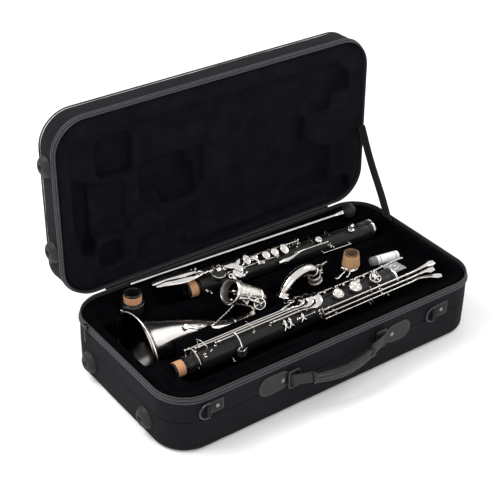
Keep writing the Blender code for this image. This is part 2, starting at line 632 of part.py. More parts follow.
# ---------------------------------------------------------------- upper joint
def build_upper_joint(frame):
    fittings = []
    for s, angle, distance, size in ((0.0310, 84, 0.0225, 0.0026), (0.0400, 104, 0.0225, 0.0026),
                                     (0.0260, -12, 0.0250, 0.0022), (0.0520, -12, 0.0250, 0.0024),
                                     (0.0280, -32, 0.0250, 0.0022), (0.0765, -32, 0.0250, 0.0020),
                                     (0.1490, -12, 0.0250, 0.0022), (0.2230, -12, 0.0250, 0.0024),
                                     (0.2480, -30, 0.0250, 0.0020), (0.2260, 44, 0.0250, 0.0022),
                                     (0.2950, 44, 0.0250, 0.0022), (0.2830, 88, 0.0240, 0.0018),
                                     (0.3440, 88, 0.0240, 0.0018)):
        fittings.append(post(s, angle, UPPER_RADIUS, distance, size))
    fittings.append(tube(around(0.2830, 88, 0.0240), around(0.3440, 88, 0.0240), 0.0011, 6))
    fittings.append(guard(0.2640, -4, 30, 0.0242, 0.0242, UPPER_RADIUS))
    fittings.append(guard(0.3060, -22, 14, 0.0222, 0.0222, UPPER_RADIUS))
    tube_along_x("upper_body", "resin", frame,
                 joint_profile(UPPER_LENGTH, UPPER_RADIUS, 0.0142, 0.0128, 0.0270, 0.0185,
                               0.0188, 0.0150), fittings=fittings)
    tube_along_x("upper_tenon_cork", "cork", frame,
                 [(0.0146, 0.0196), (0.0146, 0.0044), (0.0131, 0.0044), (0.0131, 0.0196)])
    tube_along_x("upper_socket_ring", "nickel", frame,
                 [(0.0206, UPPER_LENGTH + 0.0004), (0.0208, UPPER_LENGTH - 0.0130),
                  (0.0191, UPPER_LENGTH - 0.0130), (0.0191, UPPER_LENGTH + 0.0004)])

    pivot_angle, distance = -12, 0.0250
    levers = [wire(smooth_path([around(0.0380, pivot_angle, 0.0290), around(0.0260, -12, 0.0326),
                                around(0.0060, -14, 0.0316),
                                around(-0.012, -16, 0.0295), around(-0.034, -22, 0.0275),
                                around(-0.052, -26, 0.0230)], 2), 0.0042),
              wire(smooth_path([around(0.0300, 8, 0.0268), around(0.0060, 8, 0.0280),
                                around(-0.012, 6, 0.0270), around(-0.034, -4, 0.0245),
                                around(-0.048, -10, 0.0205)], 2), 0.0036),
              tube(around(0.0340, -14, 0.0268), around(0.0300, 8, 0.0268), 0.0022)]
    rod_key("left_pinky_keys", frame, (0.0288, 0.0490), pivot_angle, distance, levers)

    cup_centre = around(0.0610, 25, 0.0268)
    rod_key("upper_key_1", frame, (0.0310, 0.0735), -32, 0.0250,
            [wire([around(0.0610, -32, 0.0250), around(0.0610, -14, 0.0312),
                   around(0.0610, 8, 0.0312), cup_centre + Vector((0, 0, 0.001))], 0.0017),
             disc(cup_centre, 0.0125, 0.0050, around(0, 10, 1.0))])

    loop_centre = around(0.1270, 34, 0.0285)
    loop_turn = pointing(around(0, 34, 1.0))
    loop = [loop_centre + (loop_turn @ Vector((0.0150 * math.cos(a), 0.0105 * math.sin(a), 0)))
            for a in (2 * math.pi * i / 16 for i in range(16))]
    rod_key("ring_key", frame, (0.0550, 0.1460), pivot_angle, distance,
            [wire(loop, 0.0014, closed=True),
             disc(around(0.0970, 20, 0.0285), 0.0150, 0.0024, around(0, 20, 1.0), 3, 1.0, 95),
             wire([around(0.0990, -12, 0.0250), around(0.0990, 2, 0.0278),
                   around(0.0990, 17, 0.0285)], 0.0017),
             tube(around(0.1040, 26, 0.0275), around(0.1140, 32, 0.0284), 0.0016)])

    plates = [disc(around(s, 4, 0.0268), 0.0062, 0.0026, around(0, 4, 1.0), 12, 1.4)
              for s in (0.1640, 0.1830, 0.2040)]
    links = [tube(around(s, -12, 0.0250), around(s, 0, 0.0264), 0.0016)
             for s in (0.1640, 0.1830, 0.2040)]
    rod_key("upper_key_2", frame, (0.1520, 0.2195), pivot_angle, distance, plates + links)

    spoon = smooth_path([around(0.2400, 44, 0.0252), around(0.2250, 50, 0.0285),
                         around(0.2050, 60, 0.0290), around(0.1860, 63, 0.0275)], 3)
    rod_key("spoon_key", frame, (0.2290, 0.2920), 44, 0.0250,
            [wire(spoon, 0.0034, radii=[0.0018] * 4 + [0.0026] * 2 + [0.0036] * 3 + [0.0024]),
             wire([around(0.2800, 44, 0.0250), around(0.2800, 34, 0.0275),
                   around(0.2800, 27, 0.0262)], 0.0016),
             disc(around(0.2800, 20, 0.0243), 0.0066, 0.0040, around(0, 20, 1.0), 12)])

    knob_foot = around(0.3560, 18, UPPER_RADIUS + GAP)
    knob_axis = around(0, 18, 1.0)
    fused("register_vent_key", "nickel", frame, knob_foot + knob_axis * 0.0060,
          [disc(knob_foot + knob_axis * 0.0024, 0.0072, 0.0044, knob_axis, 14),
           tube(knob_foot + knob_axis * 0.004, knob_foot + knob_axis * 0.0095, 0.0036, 10),
           ball(knob_foot + knob_axis * 0.0115, 0.0052)])


# ---------------------------------------------------------------- bell
# x, y, z of the centre line and the tube's radius, from the flared mouth round to the ring
BELL_STATIONS = (
    (-0.2750, 0.0290, 0.0780, 0.0660), (-0.2700, 0.0288, 0.0779, 0.0560),
    (-0.2620, 0.0285, 0.0775, 0.0480), (-0.2400, 0.0275, 0.0775, 0.0385),
    (-0.2050, 0.0255, 0.0755, 0.0300), (-0.1650, 0.0230, 0.0680, 0.0245),
    (-0.1250, 0.0210, 0.0570, 0.0205), (-0.0850, 0.0195, 0.0490, 0.0188),
    (-0.0620, 0.0187, 0.0480, 0.0182), (-0.0400, 0.0183, 0.0530, 0.0180),
    (-0.0280, 0.0180, 0.0690, 0.0180), (-0.0310, 0.0180, 0.0870, 0.0180),
    (-0.0440, 0.0182, 0.1000, 0.0184), (-0.0680, 0.0186, 0.1150, 0.0196),
    (-0.0930, 0.0190, 0.1300, 0.0212),
)


def sweep_tube(path, radii, inner_radii, sides=28):
    """A thin pipe: rings of points along a path, bridged outside, inside and at both ends."""
    bm = bmesh.new()
    loops = []
    side = Vector((0, 1, 0))
    for shell_radii, order in ((radii, 1), (inner_radii, -1)):
        stations = list(zip(range(len(path)), path, shell_radii))[::order]
        for index, centre, radius in stations:
            ahead = (path[min(index + 1, len(path) - 1)] - path[max(index - 1, 0)]).normalized()
            across = (side - ahead * side.dot(ahead)).normalized()
            up = ahead.cross(across)
            loops.append([bm.verts.new(centre + radius * (math.cos(a) * across + math.sin(a) * up))
                          for a in (2 * math.pi * k / sides for k in range(sides))])
    for first, second in zip(loops, loops[1:] + loops[:1]):
        for k in range(sides):
            bm.faces.new((first[k], first[(k + 1) % sides], second[(k + 1) % sides], second[k]))
    return mesh_from(bm)


def build_bell(frame):
    stations = smooth_path([Vector(station) for station in BELL_STATIONS], 2)
    path = [Vector(station[:3]) - Vector(BELL_MOUTH) for station in stations]
    radii = [station[3] for station in stations]
    leg = (path[-2] - path[-1]).normalized()
    rim = turned([(0.0226, 0.0030), (0.0230, 0.0), (0.0226, -0.0030), (0.0206, -0.0030),
                  (0.0206, 0.0030)], 24)
    rim = moved(rim, Matrix.Translation(path[-1] + leg * 0.0032) @ pointing(leg))

    lever_pivot, lever_axis = Vector((0.119, -0.0230, 0.0095)), Vector((0.0, 0.8, 0.6))
    vent_pivot, vent_axis = Vector((0.203, -0.0390, 0.0440)), Vector((-0.5, 0.0, -0.866))
    supports = []
    for pivot, axis, foot, reach in ((lever_pivot, lever_axis, (0.119, -0.0068, -0.0120), 0.0042),
                                     (vent_pivot, vent_axis, (0.203, -0.0104, 0.0400), 0.0085)):
        for side in (-1, 1):
            head = pivot + axis * side * reach
            base = Vector(foot) + axis * side * reach * 0.5
            supports.append(tube(head, head.lerp(base, 0.45), 0.0013, 6))
    fused("bell_body", "nickel", frame, (0, 0, 0),
          [sweep_tube(path, radii, [radius - 0.0012 for radius in radii], 24), rim, *supports])

    lever_points = smooth_path([(0.089, -0.020, 0.0225), (0.103, -0.0215, 0.0150), lever_pivot,
                                (0.134, -0.0255, 0.0080), (0.149, -0.0295, 0.0202),
                                (0.171, -0.0350, 0.0400)], 2)
    fused("bell_lever", "nickel", frame, lever_pivot,
          [wire(lever_points, 0.0014),
           tube(lever_pivot - lever_axis * 0.0025, lever_pivot + lever_axis * 0.0025, 0.0018),
           disc((0.089, -0.0202, 0.0232), 0.0052, 0.0026, (0.2, -0.5, 0.8), 12)])

    cup = Vector((0.2230, -0.0430, 0.0290))
    fused("bell_vent_key", "nickel", frame, vent_pivot,
          [tube(vent_pivot - vent_axis * 0.0068, vent_pivot + vent_axis * 0.0068, 0.0019),
           tube(vent_pivot, cup, 0.0018),
           tube(vent_pivot, vent_pivot + Vector((-0.017, 0.0015, 0.0085)), 0.0016),
           disc(cup, 0.0105, 0.0046, (-0.30, -0.80, 0.50))])


# ---------------------------------------------------------------- neck, mouthpiece, peg
def build_neck_bow(frame):
    """The curved mouthpipe: it arches from its mouthpiece socket to its clamped end."""
    arch = smooth_path([(0.006, -0.003, -0.006), (0.016, 0.001, 0.012), (0.036, 0.005, 0.024),
                        (0.062, 0.008, 0.027), (0.082, 0.009, 0.016), (0.088, 0.009, -0.004)], 3)
    count = len(arch)
    radii = [0.0083 + 0.0016 * i / (count - 1) for i in range(count)]
    bow = sweep_tube(arch, radii, [r - 0.0012 for r in radii], 16)
    out = (arch[0] - arch[1]).normalized()
    socket = moved(turned([(0.0128, 0.0085), (0.0136, 0.0070), (0.0132, 0.0), (0.0118, -0.0080),
                           (0.0098, -0.0100), (0.0077, -0.0100), (0.0077, 0.0085)], 20),
                   Matrix.Translation(arch[0] - out * 0.0005) @ pointing(out))
    down = (arch[-1] - arch[-2]).normalized()
    foot = Matrix.Translation(arch[-1] - down * 0.0060) @ pointing(down)
    collar = moved(turned([(0.0138, 0.0140), (0.0138, -0.0020), (0.0093, -0.0020),
                           (0.0093, 0.0140)], 20), foot)
    lug = slab(arch[-1] + Vector((0.0150, 0.004, 0.0040)), (0.0090, 0.0070, 0.0090), (0, 14, 0))
    fused("neck_bow", "nickel", frame, (0, 0, 0), [bow, socket, collar, lug])

    centre = arch[-1] + Vector((0.0165, 0.004, 0.0130))
    shank = tube(centre - Vector((0, 0, 0.0034)), centre + Vector((0, 0, 0.004)), 0.0022)
    wings = [slab(centre + Vector((side * 0.0042, 0, 0.0060)), (0.0085, 0.0022, 0.0080),
                  (0, side * 24, 0)) for side in (-1, 1)]
    fused("neck_thumb_screw", "nickel", frame, centre, [shank, *wings])


def build_neck_receiver(frame):
    """The lower neck stands on its tube with its corked tenon up."""
    top = RECEIVER_TOP - 0.0310 - RECEIVER_FOOT
    profile = [(0.0140, top + 0.0310), (0.0130, top + 0.0290), (0.0130, top + 0.0045),
               (0.0165, top + 0.0015), (0.0185, top - 0.0020), (0.0175, top - 0.0060),
               (0.0140, top - 0.0090), (0.0140, -0.0480), (0.0112, -0.0480),
               (0.0112, top + 0.0310)]
    new_object("neck_receiver", turned(profile, 24), "nickel", frame)
    cork = turned([(0.0150, top + 0.0286), (0.0152, top + 0.0050), (0.0133, top + 0.0050),
                   (0.0133, top + 0.0286)], 24)
    new_object("neck_cork", cork, "cork", frame)

    pivot = Vector((-0.0210, -0.0120, 0.0125))
    hinge = Vector((-0.45, 0.89, 0.0))
    fused("register_key", "nickel", frame, pivot,
          [tube(pivot - hinge * 0.0080, pivot + hinge * 0.0100, 0.0019),
           wire([pivot, pivot + Vector((-0.012, -0.006, -0.0010)),
                 pivot + Vector((-0.029, -0.0115, -0.0010))], 0.0017),
           disc(pivot + Vector((-0.029, -0.0115, -0.0005)), 0.0045, 0.0026, (0, 0, 1.0), 12)])


def build_mouthpiece(frame):
    """Stands tenon up: the cork is on top and the beak points down into its pit."""
    z = 0.0
    profile = [(0.0150, z), (0.0156, z - 0.0010), (0.0156, z - 0.0038), (0.0140, z - 0.0040),
               (0.0140, z - 0.0178), (0.0156, z - 0.0180), (0.0156, z - 0.0196),
               (0.0196, z - 0.0206), (0.0205, z - 0.0240), (0.0200, z - 0.0440),
               (0.0165, z - 0.0700), (0.0115, z - 0.0980), (0.0060, z - 0.0980),
               (0.0117, z - 0.0400), (0.0117, z)]
    new_object("mouthpiece", turned(profile, 24), "resin", frame)
    cork = turned([(0.0158, -0.0042), (0.0158, -0.0176), (0.0143, -0.0176), (0.0143, -0.0042)], 24)
    new_object("mouthpiece_cork", cork, "cork", frame)

    pieces = [slab((-0.0220, -0.0018, -0.0340), (0.0014, 0.0040, 0.0150))]
    for height in (-0.0290, -0.0390):
        start = Vector((-0.0216, -0.0018, height))
        pieces.append(tube(start, start + Vector((-0.0034, -0.0015, 0)), 0.0022))
    fused("ligature_screws", "nickel", frame, (-0.0220, -0.0018, -0.0340), pieces)


def build_peg():
    foot, collar = Vector(PEG_FOOT), Vector(PEG_COLLAR)
    ahead = (collar - foot).normalized()
    frame = make_frame("peg_frame", foot, pointing(ahead).to_euler())
    length = (collar - foot).length
    rod = turned([(0.0, length), (0.0066, length), (0.0070, length - 0.0030),
                  (0.0052, length - 0.0140), (0.0036, length - 0.0180), (0.0034, 0.0006),
                  (0.0028, 0.0), (0.0, 0.0)], 12)
    new_object("peg_rod", rod, "nickel", frame)
    tip = turned([(0.0, PEG_BALL_RADIUS * 2)]
                 + [(PEG_BALL_RADIUS * math.sin(a), PEG_BALL_RADIUS * (1 + math.cos(a)))
                    for a in (math.pi * i / 10 for i in range(1, 10))] + [(0.0, 0.0)], 18)
    new_object("peg_tip", tip, "rubber", frame, (0, 0, length + GAP))


def build_accessories():
    start, end = (Vector(point) for point in GREASE_ENDS)
    ahead = (end - start).normalized()
    new_object("grease_tube", moved(tube(start, end, GREASE_RADIUS, 16), Matrix.Translation(-start)),
               "white", None, start)
    cap_end = start - ahead * 0.0120
    cap = tube(start - ahead * GAP, cap_end, GREASE_RADIUS * 0.97, 16, GREASE_RADIUS * 0.90)
    new_object("grease_cap", moved(cap, Matrix.Translation(-start)), "rubber", None, start)
    pouch = slab((0, 0, 0), (0.038, 0.028, 0.0075), (0, 4, 4), 0.003, 2, upright_only=False)
    new_object("accessory_bag", pouch, "clear", None, (0.2392, -0.0386, 0.0868))


def main():
    hinge = make_frame("lid_hinge", (0, CASE_WIDTH / 2, BASE_HEIGHT),
                       (-math.radians(LID_OPEN_DEG), 0, 0))
    build_case_base()
    build_lid(hinge)
    build_case_fittings()
    build_handle()
    build_d_ring("d_ring_left", -0.266, 0.081)
    build_d_ring("d_ring_right", 0.216, 0.072)
    build_zip_slider("zip_slider_left", -CASE_LENGTH / 2, -1)
    build_zip_slider("zip_slider_right", CASE_LENGTH / 2, 1)
    build_lower_joint(make_frame("lower_frame", LOWER_ORIGIN))
    build_upper_joint(make_frame("upper_frame", UPPER_ORIGIN, (0, 0, math.radians(UPPER_TURN_DEG))))
    build_bell(make_frame("bell_frame", BELL_MOUTH))
    build_neck_bow(make_frame("bow_frame", (0.006, 0.005, 0.090)))
    build_neck_receiver(make_frame("receiver_frame", (*RECEIVER_XY, RECEIVER_FOOT)))
    build_mouthpiece(make_frame("mouthpiece_frame", (*MOUTHPIECE_XY, MOUTHPIECE_TOP)))
    build_peg()
    build_accessories()


main()
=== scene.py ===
import math

import bmesh
import bpy
import numpy as np
from mathutils import Matrix, Vector, noise


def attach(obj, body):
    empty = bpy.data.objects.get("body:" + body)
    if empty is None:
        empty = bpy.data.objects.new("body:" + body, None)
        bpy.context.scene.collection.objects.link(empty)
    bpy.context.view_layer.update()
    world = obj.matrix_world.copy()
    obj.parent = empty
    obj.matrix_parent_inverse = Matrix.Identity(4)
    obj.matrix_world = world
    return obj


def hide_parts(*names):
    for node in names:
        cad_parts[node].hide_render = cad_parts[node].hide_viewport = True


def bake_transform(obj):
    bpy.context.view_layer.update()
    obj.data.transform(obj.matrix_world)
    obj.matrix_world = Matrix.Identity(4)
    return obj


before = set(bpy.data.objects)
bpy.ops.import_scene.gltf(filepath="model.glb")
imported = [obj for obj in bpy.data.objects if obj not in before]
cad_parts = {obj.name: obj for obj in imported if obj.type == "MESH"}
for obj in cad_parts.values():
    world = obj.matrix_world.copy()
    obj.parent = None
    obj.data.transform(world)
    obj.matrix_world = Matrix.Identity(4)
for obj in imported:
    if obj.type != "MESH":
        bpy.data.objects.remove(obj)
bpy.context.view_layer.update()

# ---------------------------------------------------------------- sizes shared with the CAD
LENGTH, WIDTH, CORNER = 0.660, 0.336, 0.061
BASE_HEIGHT, PIPING, LID_DEPTH = 0.112, 0.101, 0.054
LID_OPEN = math.radians(91.6)
LOWER = Matrix.Translation((-0.264, -0.062, 0.085))
UPPER = Matrix.Translation((-0.121, 0.112, 0.088)) @ Matrix.Rotation(math.radians(-3.65), 4, "Z")
HINGE = Matrix.Translation((0, WIDTH / 2, BASE_HEIGHT)) @ Matrix.Rotation(-LID_OPEN, 4, "X")
BELL = Matrix.Translation((-0.275, 0.029, 0.078))
NECK = Matrix.Translation((0.006, 0.005, 0.090))
RECEIVER = Matrix.Translation((0.177, 0.0125, 0.0800))
MOUTHPIECE = Matrix.Translation((-0.2315, 0.1115, 0.130))


# ---------------------------------------------------------------- finishes
def pattern(tree, kind, scale, stretch=(1, 1, 1)):
    """The output of a texture in the object's own metres."""
    nodes, links = tree.nodes, tree.links
    place = nodes.new("ShaderNodeMapping")
    place.inputs["Scale"].default_value = stretch
    links.new(nodes.new("ShaderNodeTexCoord").outputs["Object"], place.inputs["Vector"])
    if kind == "weave":
        total = None
        for direction in "XYZ":
            wave = nodes.new("ShaderNodeTexWave")
            wave.wave_type, wave.bands_direction = "BANDS", direction
            wave.inputs["Scale"].default_value = scale
            wave.inputs["Distortion"].default_value = 0.6
            wave.inputs["Detail"].default_value = 1.0
            links.new(place.outputs["Vector"], wave.inputs["Vector"])
            if total is None:
                total = wave.outputs["Fac"]
            else:
                add = nodes.new("ShaderNodeMath")
                add.operation = "ADD"
                links.new(total, add.inputs[0])
                links.new(wave.outputs["Fac"], add.inputs[1])
                total = add.outputs[0]
        return total
    if kind == "cells":
        cells = nodes.new("ShaderNodeTexVoronoi")
        cells.inputs["Scale"].default_value = scale
        links.new(place.outputs["Vector"], cells.inputs["Vector"])
        return cells.outputs["Distance"]
    clouds = nodes.new("ShaderNodeTexNoise")
    clouds.inputs["Scale"].default_value = scale
    clouds.inputs["Detail"].default_value = 5.0
    clouds.inputs["Roughness"].default_value = 0.6
    links.new(place.outputs["Vector"], clouds.inputs["Vector"])
    return clouds.outputs["Fac"]


def finish(name, dark, light, rough, tone, relief, depth, strength=0.5, metallic=0.0, **sockets):
    """A procedural material: tone varies colour and roughness, relief gives the bump."""
    material = bpy.data.materials.new(name)
    material.use_nodes = True
    tree = material.node_tree
    nodes, links = tree.nodes, tree.links
    shader = nodes["Principled BSDF"]
    shader.inputs["Metallic"].default_value = metallic
    for socket, value in sockets.items():
        shader.inputs[socket.replace("_", " ")].default_value = value
    fac = pattern(tree, *tone)
    ramp = nodes.new("ShaderNodeValToRGB")
    ramp.color_ramp.elements[0].position, ramp.color_ramp.elements[1].position = 0.32, 0.68
    ramp.color_ramp.elements[0].color = (*dark, 1)
    ramp.color_ramp.elements[1].color = (*light, 1)
    links.new(fac, ramp.inputs["Fac"])
    links.new(ramp.outputs["Color"], shader.inputs["Base Color"])
    spread = nodes.new("ShaderNodeMapRange")
    spread.inputs["From Min"].default_value, spread.inputs["From Max"].default_value = 0.3, 0.7
    spread.inputs["To Min"].default_value, spread.inputs["To Max"].default_value = rough
    links.new(fac, spread.inputs["Value"])
    links.new(spread.outputs["Result"], shader.inputs["Roughness"])
    bump = nodes.new("ShaderNodeBump")
    bump.inputs["Strength"].default_value = strength
    bump.inputs["Distance"].default_value = depth
    links.new(pattern(tree, *relief), bump.inputs["Height"])
    links.new(bump.outputs["Normal"], shader.inputs["Normal"])
    return material


FABRIC = finish("woven_nylon", (0.0042, 0.0041, 0.0056), (0.0085, 0.0083, 0.0108), (0.80, 0.92),
                ("noise", 26), ("weave", 360), 0.00022, 0.55, Sheen_Weight=0.018,
                Sheen_Roughness=0.45, Sheen_Tint=(0.75, 0.77, 0.85, 1), Specular_IOR_Level=0.10)
TWILL = finish("webbing", (0.0085, 0.0085, 0.0098), (0.018, 0.018, 0.020), (0.65, 0.8),
               ("weave", 150), ("weave", 220), 0.0003, 0.7, Sheen_Weight=0.03,
               Specular_IOR_Level=0.16)
PLUSH = finish("velour_plush", (0.0009, 0.0009, 0.0013), (0.0021, 0.0021, 0.0028), (0.95, 1.0),
               ("noise", 38), ("noise", 1400), 0.0005, 0.6, Sheen_Weight=0.006,
               Sheen_Roughness=0.5, Sheen_Tint=(0.70, 0.70, 0.95, 1), Specular_IOR_Level=0.006)
LID_PLUSH = finish("velour_plush_lid", (0.0038, 0.0038, 0.0053), (0.0070, 0.0070, 0.0096),
                   (0.95, 1.0), ("noise", 30), ("noise", 1400), 0.0005, 0.6, Sheen_Weight=0.015,
                   Sheen_Roughness=0.34, Sheen_Tint=(0.70, 0.70, 0.95, 1),
                   Specular_IOR_Level=0.04)
ZIP_TAPE = finish("zip_tape", (0.008, 0.008, 0.009), (0.020, 0.020, 0.023), (0.6, 0.75),
                  ("weave", 300), ("weave", 300), 0.0003, 0.7, Specular_IOR_Level=0.15)
ZIP_COIL = finish("zip_coil", (0.012, 0.012, 0.013), (0.030, 0.030, 0.033), (0.34, 0.5),
                  ("noise", 300), ("noise", 900), 0.0001, 0.3)
PIPING_GREY = finish("piping_vinyl", (0.024, 0.024, 0.028), (0.046, 0.046, 0.052), (0.36, 0.48),
                     ("noise", 120), ("cells", 1500), 0.00015, 0.4, Specular_IOR_Level=0.25)
LEATHER = finish("grained_leather", (0.0075, 0.0073, 0.0082), (0.0180, 0.0178, 0.0195), (0.40, 0.54),
                 ("noise", 90), ("cells", 900), 0.0004, 0.6, Specular_IOR_Level=0.26)
LEATHER_EDGE = finish("leather_edge", (0.008, 0.008, 0.009), (0.014, 0.014, 0.015), (0.5, 0.6),
                      ("noise", 400), ("noise", 900), 0.0002, 0.4)
THREAD = finish("sewing_thread", (0.060, 0.060, 0.068), (0.13, 0.13, 0.145), (0.6, 0.7),
                ("noise", 700), ("weave", 800), 0.0002, 0.5)
GUNMETAL = finish("black_nickel", (0.050, 0.050, 0.056), (0.090, 0.090, 0.098), (0.24, 0.36),
                  ("noise", 80), ("noise", 500), 0.00005, 0.2, metallic=1.0)
BUCKLE = finish("painted_buckle", (0.006, 0.006, 0.0065), (0.013, 0.013, 0.014), (0.30, 0.42),
                ("noise", 90), ("noise", 600), 0.0001, 0.25, Specular_IOR_Level=0.35)
RIVET = finish("rivet_metal", (0.16, 0.16, 0.17), (0.28, 0.28, 0.30), (0.28, 0.4),
               ("noise", 200), ("noise", 900), 0.00005, 0.2, metallic=1.0)
RUBBER = finish("moulded_rubber", (0.010, 0.010, 0.011), (0.018, 0.018, 0.019), (0.5, 0.62),
                ("noise", 130), ("noise", 900), 0.0002, 0.35, Specular_IOR_Level=0.25)
RESIN = finish("matte_body", (0.0042, 0.0042, 0.0045), (0.0085, 0.0085, 0.0088), (0.26, 0.36),
               ("noise", 60, (0.25, 3, 3)), ("noise", 380, (0.12, 4, 4)), 0.00025, 0.45,
               Specular_IOR_Level=0.26)
EBONITE = finish("polished_ebonite", (0.006, 0.006, 0.0062), (0.010, 0.010, 0.0102),
                 (0.14, 0.22), ("noise", 90), ("noise", 500), 0.00004, 0.2)
NICKEL = finish("nickel_silver", (0.60, 0.565, 0.53), (0.75, 0.715, 0.68), (0.055, 0.13),
                ("noise", 45), ("noise", 260), 0.00006, 0.10, metallic=1.0)
BELL_SILVER = finish("bell_silver", (0.76, 0.725, 0.685), (0.88, 0.85, 0.81), (0.15, 0.24),
                     ("noise", 30), ("noise", 260), 0.00006, 0.08, metallic=1.0)
# Painted shade: a dark copy of the bell's silver for the inside of the bell. It stands in for the shade
# and dark reflections inside the mouth.
BELL_INSIDE_PAINTED_SHADE = finish("bell_inside_painted_shade", (0.018, 0.017, 0.016), (0.045, 0.042, 0.040), (0.18, 0.28),
                     ("noise", 40), ("noise", 300), 0.00006, 0.10, metallic=1.0)
TUBE_INSIDE = finish("brown_inside", (0.085, 0.050, 0.026), (0.19, 0.115, 0.062), (0.42, 0.55),
                     ("noise", 120), ("noise", 500), 0.0001, 0.3)
NICKEL_SATIN = finish("nickel_satin", (0.62, 0.57, 0.53), (0.78, 0.73, 0.68), (0.34, 0.48),
                      ("noise", 90), ("noise", 500), 0.00006, 0.15, metallic=1.0)
STEEL = finish("key_steel", (0.62, 0.60, 0.58), (0.76, 0.74, 0.72), (0.10, 0.20),
               ("noise", 120, (0.1, 1, 1)), ("noise", 700), 0.00004, 0.15, metallic=1.0)
CORK = finish("tenon_cork", (0.38, 0.170, 0.075), (0.60, 0.32, 0.165), (0.72, 0.88),
              ("noise", 620), ("cells", 900), 0.0004, 0.7)
PALE_CORK = finish("neck_cork", (0.40, 0.215, 0.095), (0.62, 0.38, 0.19), (0.66, 0.84),
                   ("noise", 620), ("cells", 900), 0.0004, 0.7)
PAD = finish("pad_leather", (0.006, 0.006, 0.006), (0.016, 0.015, 0.014), (0.55, 0.7),
             ("noise", 300), ("noise", 1100), 0.0002, 0.5)
WHITE = finish("white_tube", (0.70, 0.70, 0.70), (0.84, 0.84, 0.83), (0.22, 0.32),
               ("noise", 60), ("noise", 400), 0.0001, 0.2)
GREY_CAP = finish("grey_cap", (0.13, 0.13, 0.135), (0.22, 0.22, 0.225), (0.25, 0.38),
                  ("noise", 60), ("noise", 400), 0.0001, 0.2)
FILM = finish("clear_film", (0.60, 0.60, 0.62), (0.82, 0.82, 0.84), (0.06, 0.16),
              ("noise", 120), ("noise", 160), 0.0012, 0.7, Alpha=0.26, Specular_IOR_Level=0.8)
PAPER = finish("floor_white", (0.90, 0.898, 0.895), (0.93, 0.929, 0.926), (0.85, 0.95),
               ("noise", 4), ("noise", 40), 0.0001, 0.05)


# ---------------------------------------------------------------- mesh code
class Build:
    """Collects the shapes of one piece, each with its own finish."""

    def __init__(self, *finishes):
        self.finishes = list(finishes)
        self.points, self.faces, self.slots = [], [], []

    def add(self, shape, slot=0, place=None):
        points, faces = shape
        first = len(self.points)
        if place is not None:
            points = [place @ Vector(p) for p in points]
        self.points.extend(tuple(p) for p in points)
        self.faces.extend(tuple(first + i for i in face) for face in faces)
        self.slots.extend([slot] * len(faces))
        return self

    def make(self, name, body, slot, nodes=(), place=None, sharp=38, wobble=0.0, wobble_scale=14):
        if place is not None:
            self.points = [tuple(place @ Vector(p)) for p in self.points]
        mesh = bpy.data.meshes.new(name)
        mesh.from_pydata(self.points, [], self.faces)
        for each in self.finishes:
            mesh.materials.append(each)
        mesh.polygons.foreach_set("material_index", self.slots)
        bm = bmesh.new()
        bm.from_mesh(mesh)
        bmesh.ops.recalc_face_normals(bm, faces=bm.faces)
        if wobble:
            bm.normal_update()
            for vertex in bm.verts:
                push = noise.noise(vertex.co * wobble_scale)
                push += 0.5 * noise.noise(vertex.co * wobble_scale * 3.1 + Vector((7, 3, 1)))
                vertex.co += vertex.normal * push * wobble
        bm.to_mesh(mesh)
        bm.free()
        mesh.shade_smooth()
        mesh.set_sharp_from_angle(angle=math.radians(sharp))
        piece = bpy.data.objects.new(name, mesh)
        bpy.context.scene.collection.objects.link(piece)
        if body:
            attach(piece, body)
        if nodes:
            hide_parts(*nodes)
        return piece


def skin(loops, wrap=False, caps=True, ring=True):
    """Faces between loops of equal length; the ends are capped unless the loops wrap."""
    count, rows = len(loops[0]), len(loops)
    points = [p for loop in loops for p in loop]
    faces = []
    for i in range(rows if wrap else rows - 1):
        a, b = i * count, ((i + 1) % rows) * count
        for k in range(count if ring else count - 1):
            n = (k + 1) % count
            faces.append((a + k, a + n, b + n, b + k))
    if caps and not wrap and ring:
        faces.append(tuple(range(count))[::-1])
        faces.append(tuple((rows - 1) * count + k for k in range(count)))
    return points, faces


def pointing(direction):
    return Vector(direction).to_track_quat("Z", "Y").to_matrix().to_4x4()


def at(point, direction=(0, 0, 1), turn=0.0):
    return (Matrix.Translation(Vector(point)) @ pointing(direction)
            @ Matrix.Rotation(math.radians(turn), 4, "Z"))


def fillet(profile, radius, steps=3, closed=False):
    """Rounds the corners of a flat polyline."""
    points = [Vector(p) for p in profile]
    count, result = len(points), []
    for i, p in enumerate(points):
        if not closed and i in (0, count - 1):
            result.append(tuple(p))
            continue
        before, after = points[i - 1], points[(i + 1) % count]
        back, ahead = before - p, after - p
        cut = min(radius, back.length * 0.45, ahead.length * 0.45)
        if cut < 1e-6 or back.length < 1e-9 or ahead.length < 1e-9:
            result.append(tuple(p))
            continue
        a, b = p + back.normalized() * cut, p + ahead.normalized() * cut
        for k in range(steps + 1):
            t = k / steps
            result.append(tuple(a * (1 - t) ** 2 + p * 2 * t * (1 - t) + b * t * t))
    return result


def lathe(profile, sides=48, soft=0.0, steps=2):
    """A profile of (radius, height) turned about Z; a profile clear of the axis is a ring."""
    ring = min(r for r, _ in profile) > 1e-4
    if soft:
        profile = fillet(profile, soft, steps, closed=ring)
    loops = [[Vector((max(r, 2e-5) * math.cos(a), max(r, 2e-5) * math.sin(a), z))
              for a in (2 * math.pi * k / sides for k in range(sides))] for r, z in profile]
    return skin(loops, wrap=ring)


def directions(path, closed=False):
    result, count = [], len(path)
    for i in range(count):
        if closed:
            ahead = path[(i + 1) % count] - path[i - 1]
        else:
            ahead = path[min(i + 1, count - 1)] - path[max(i - 1, 0)]
        result.append(ahead.normalized())
    return result


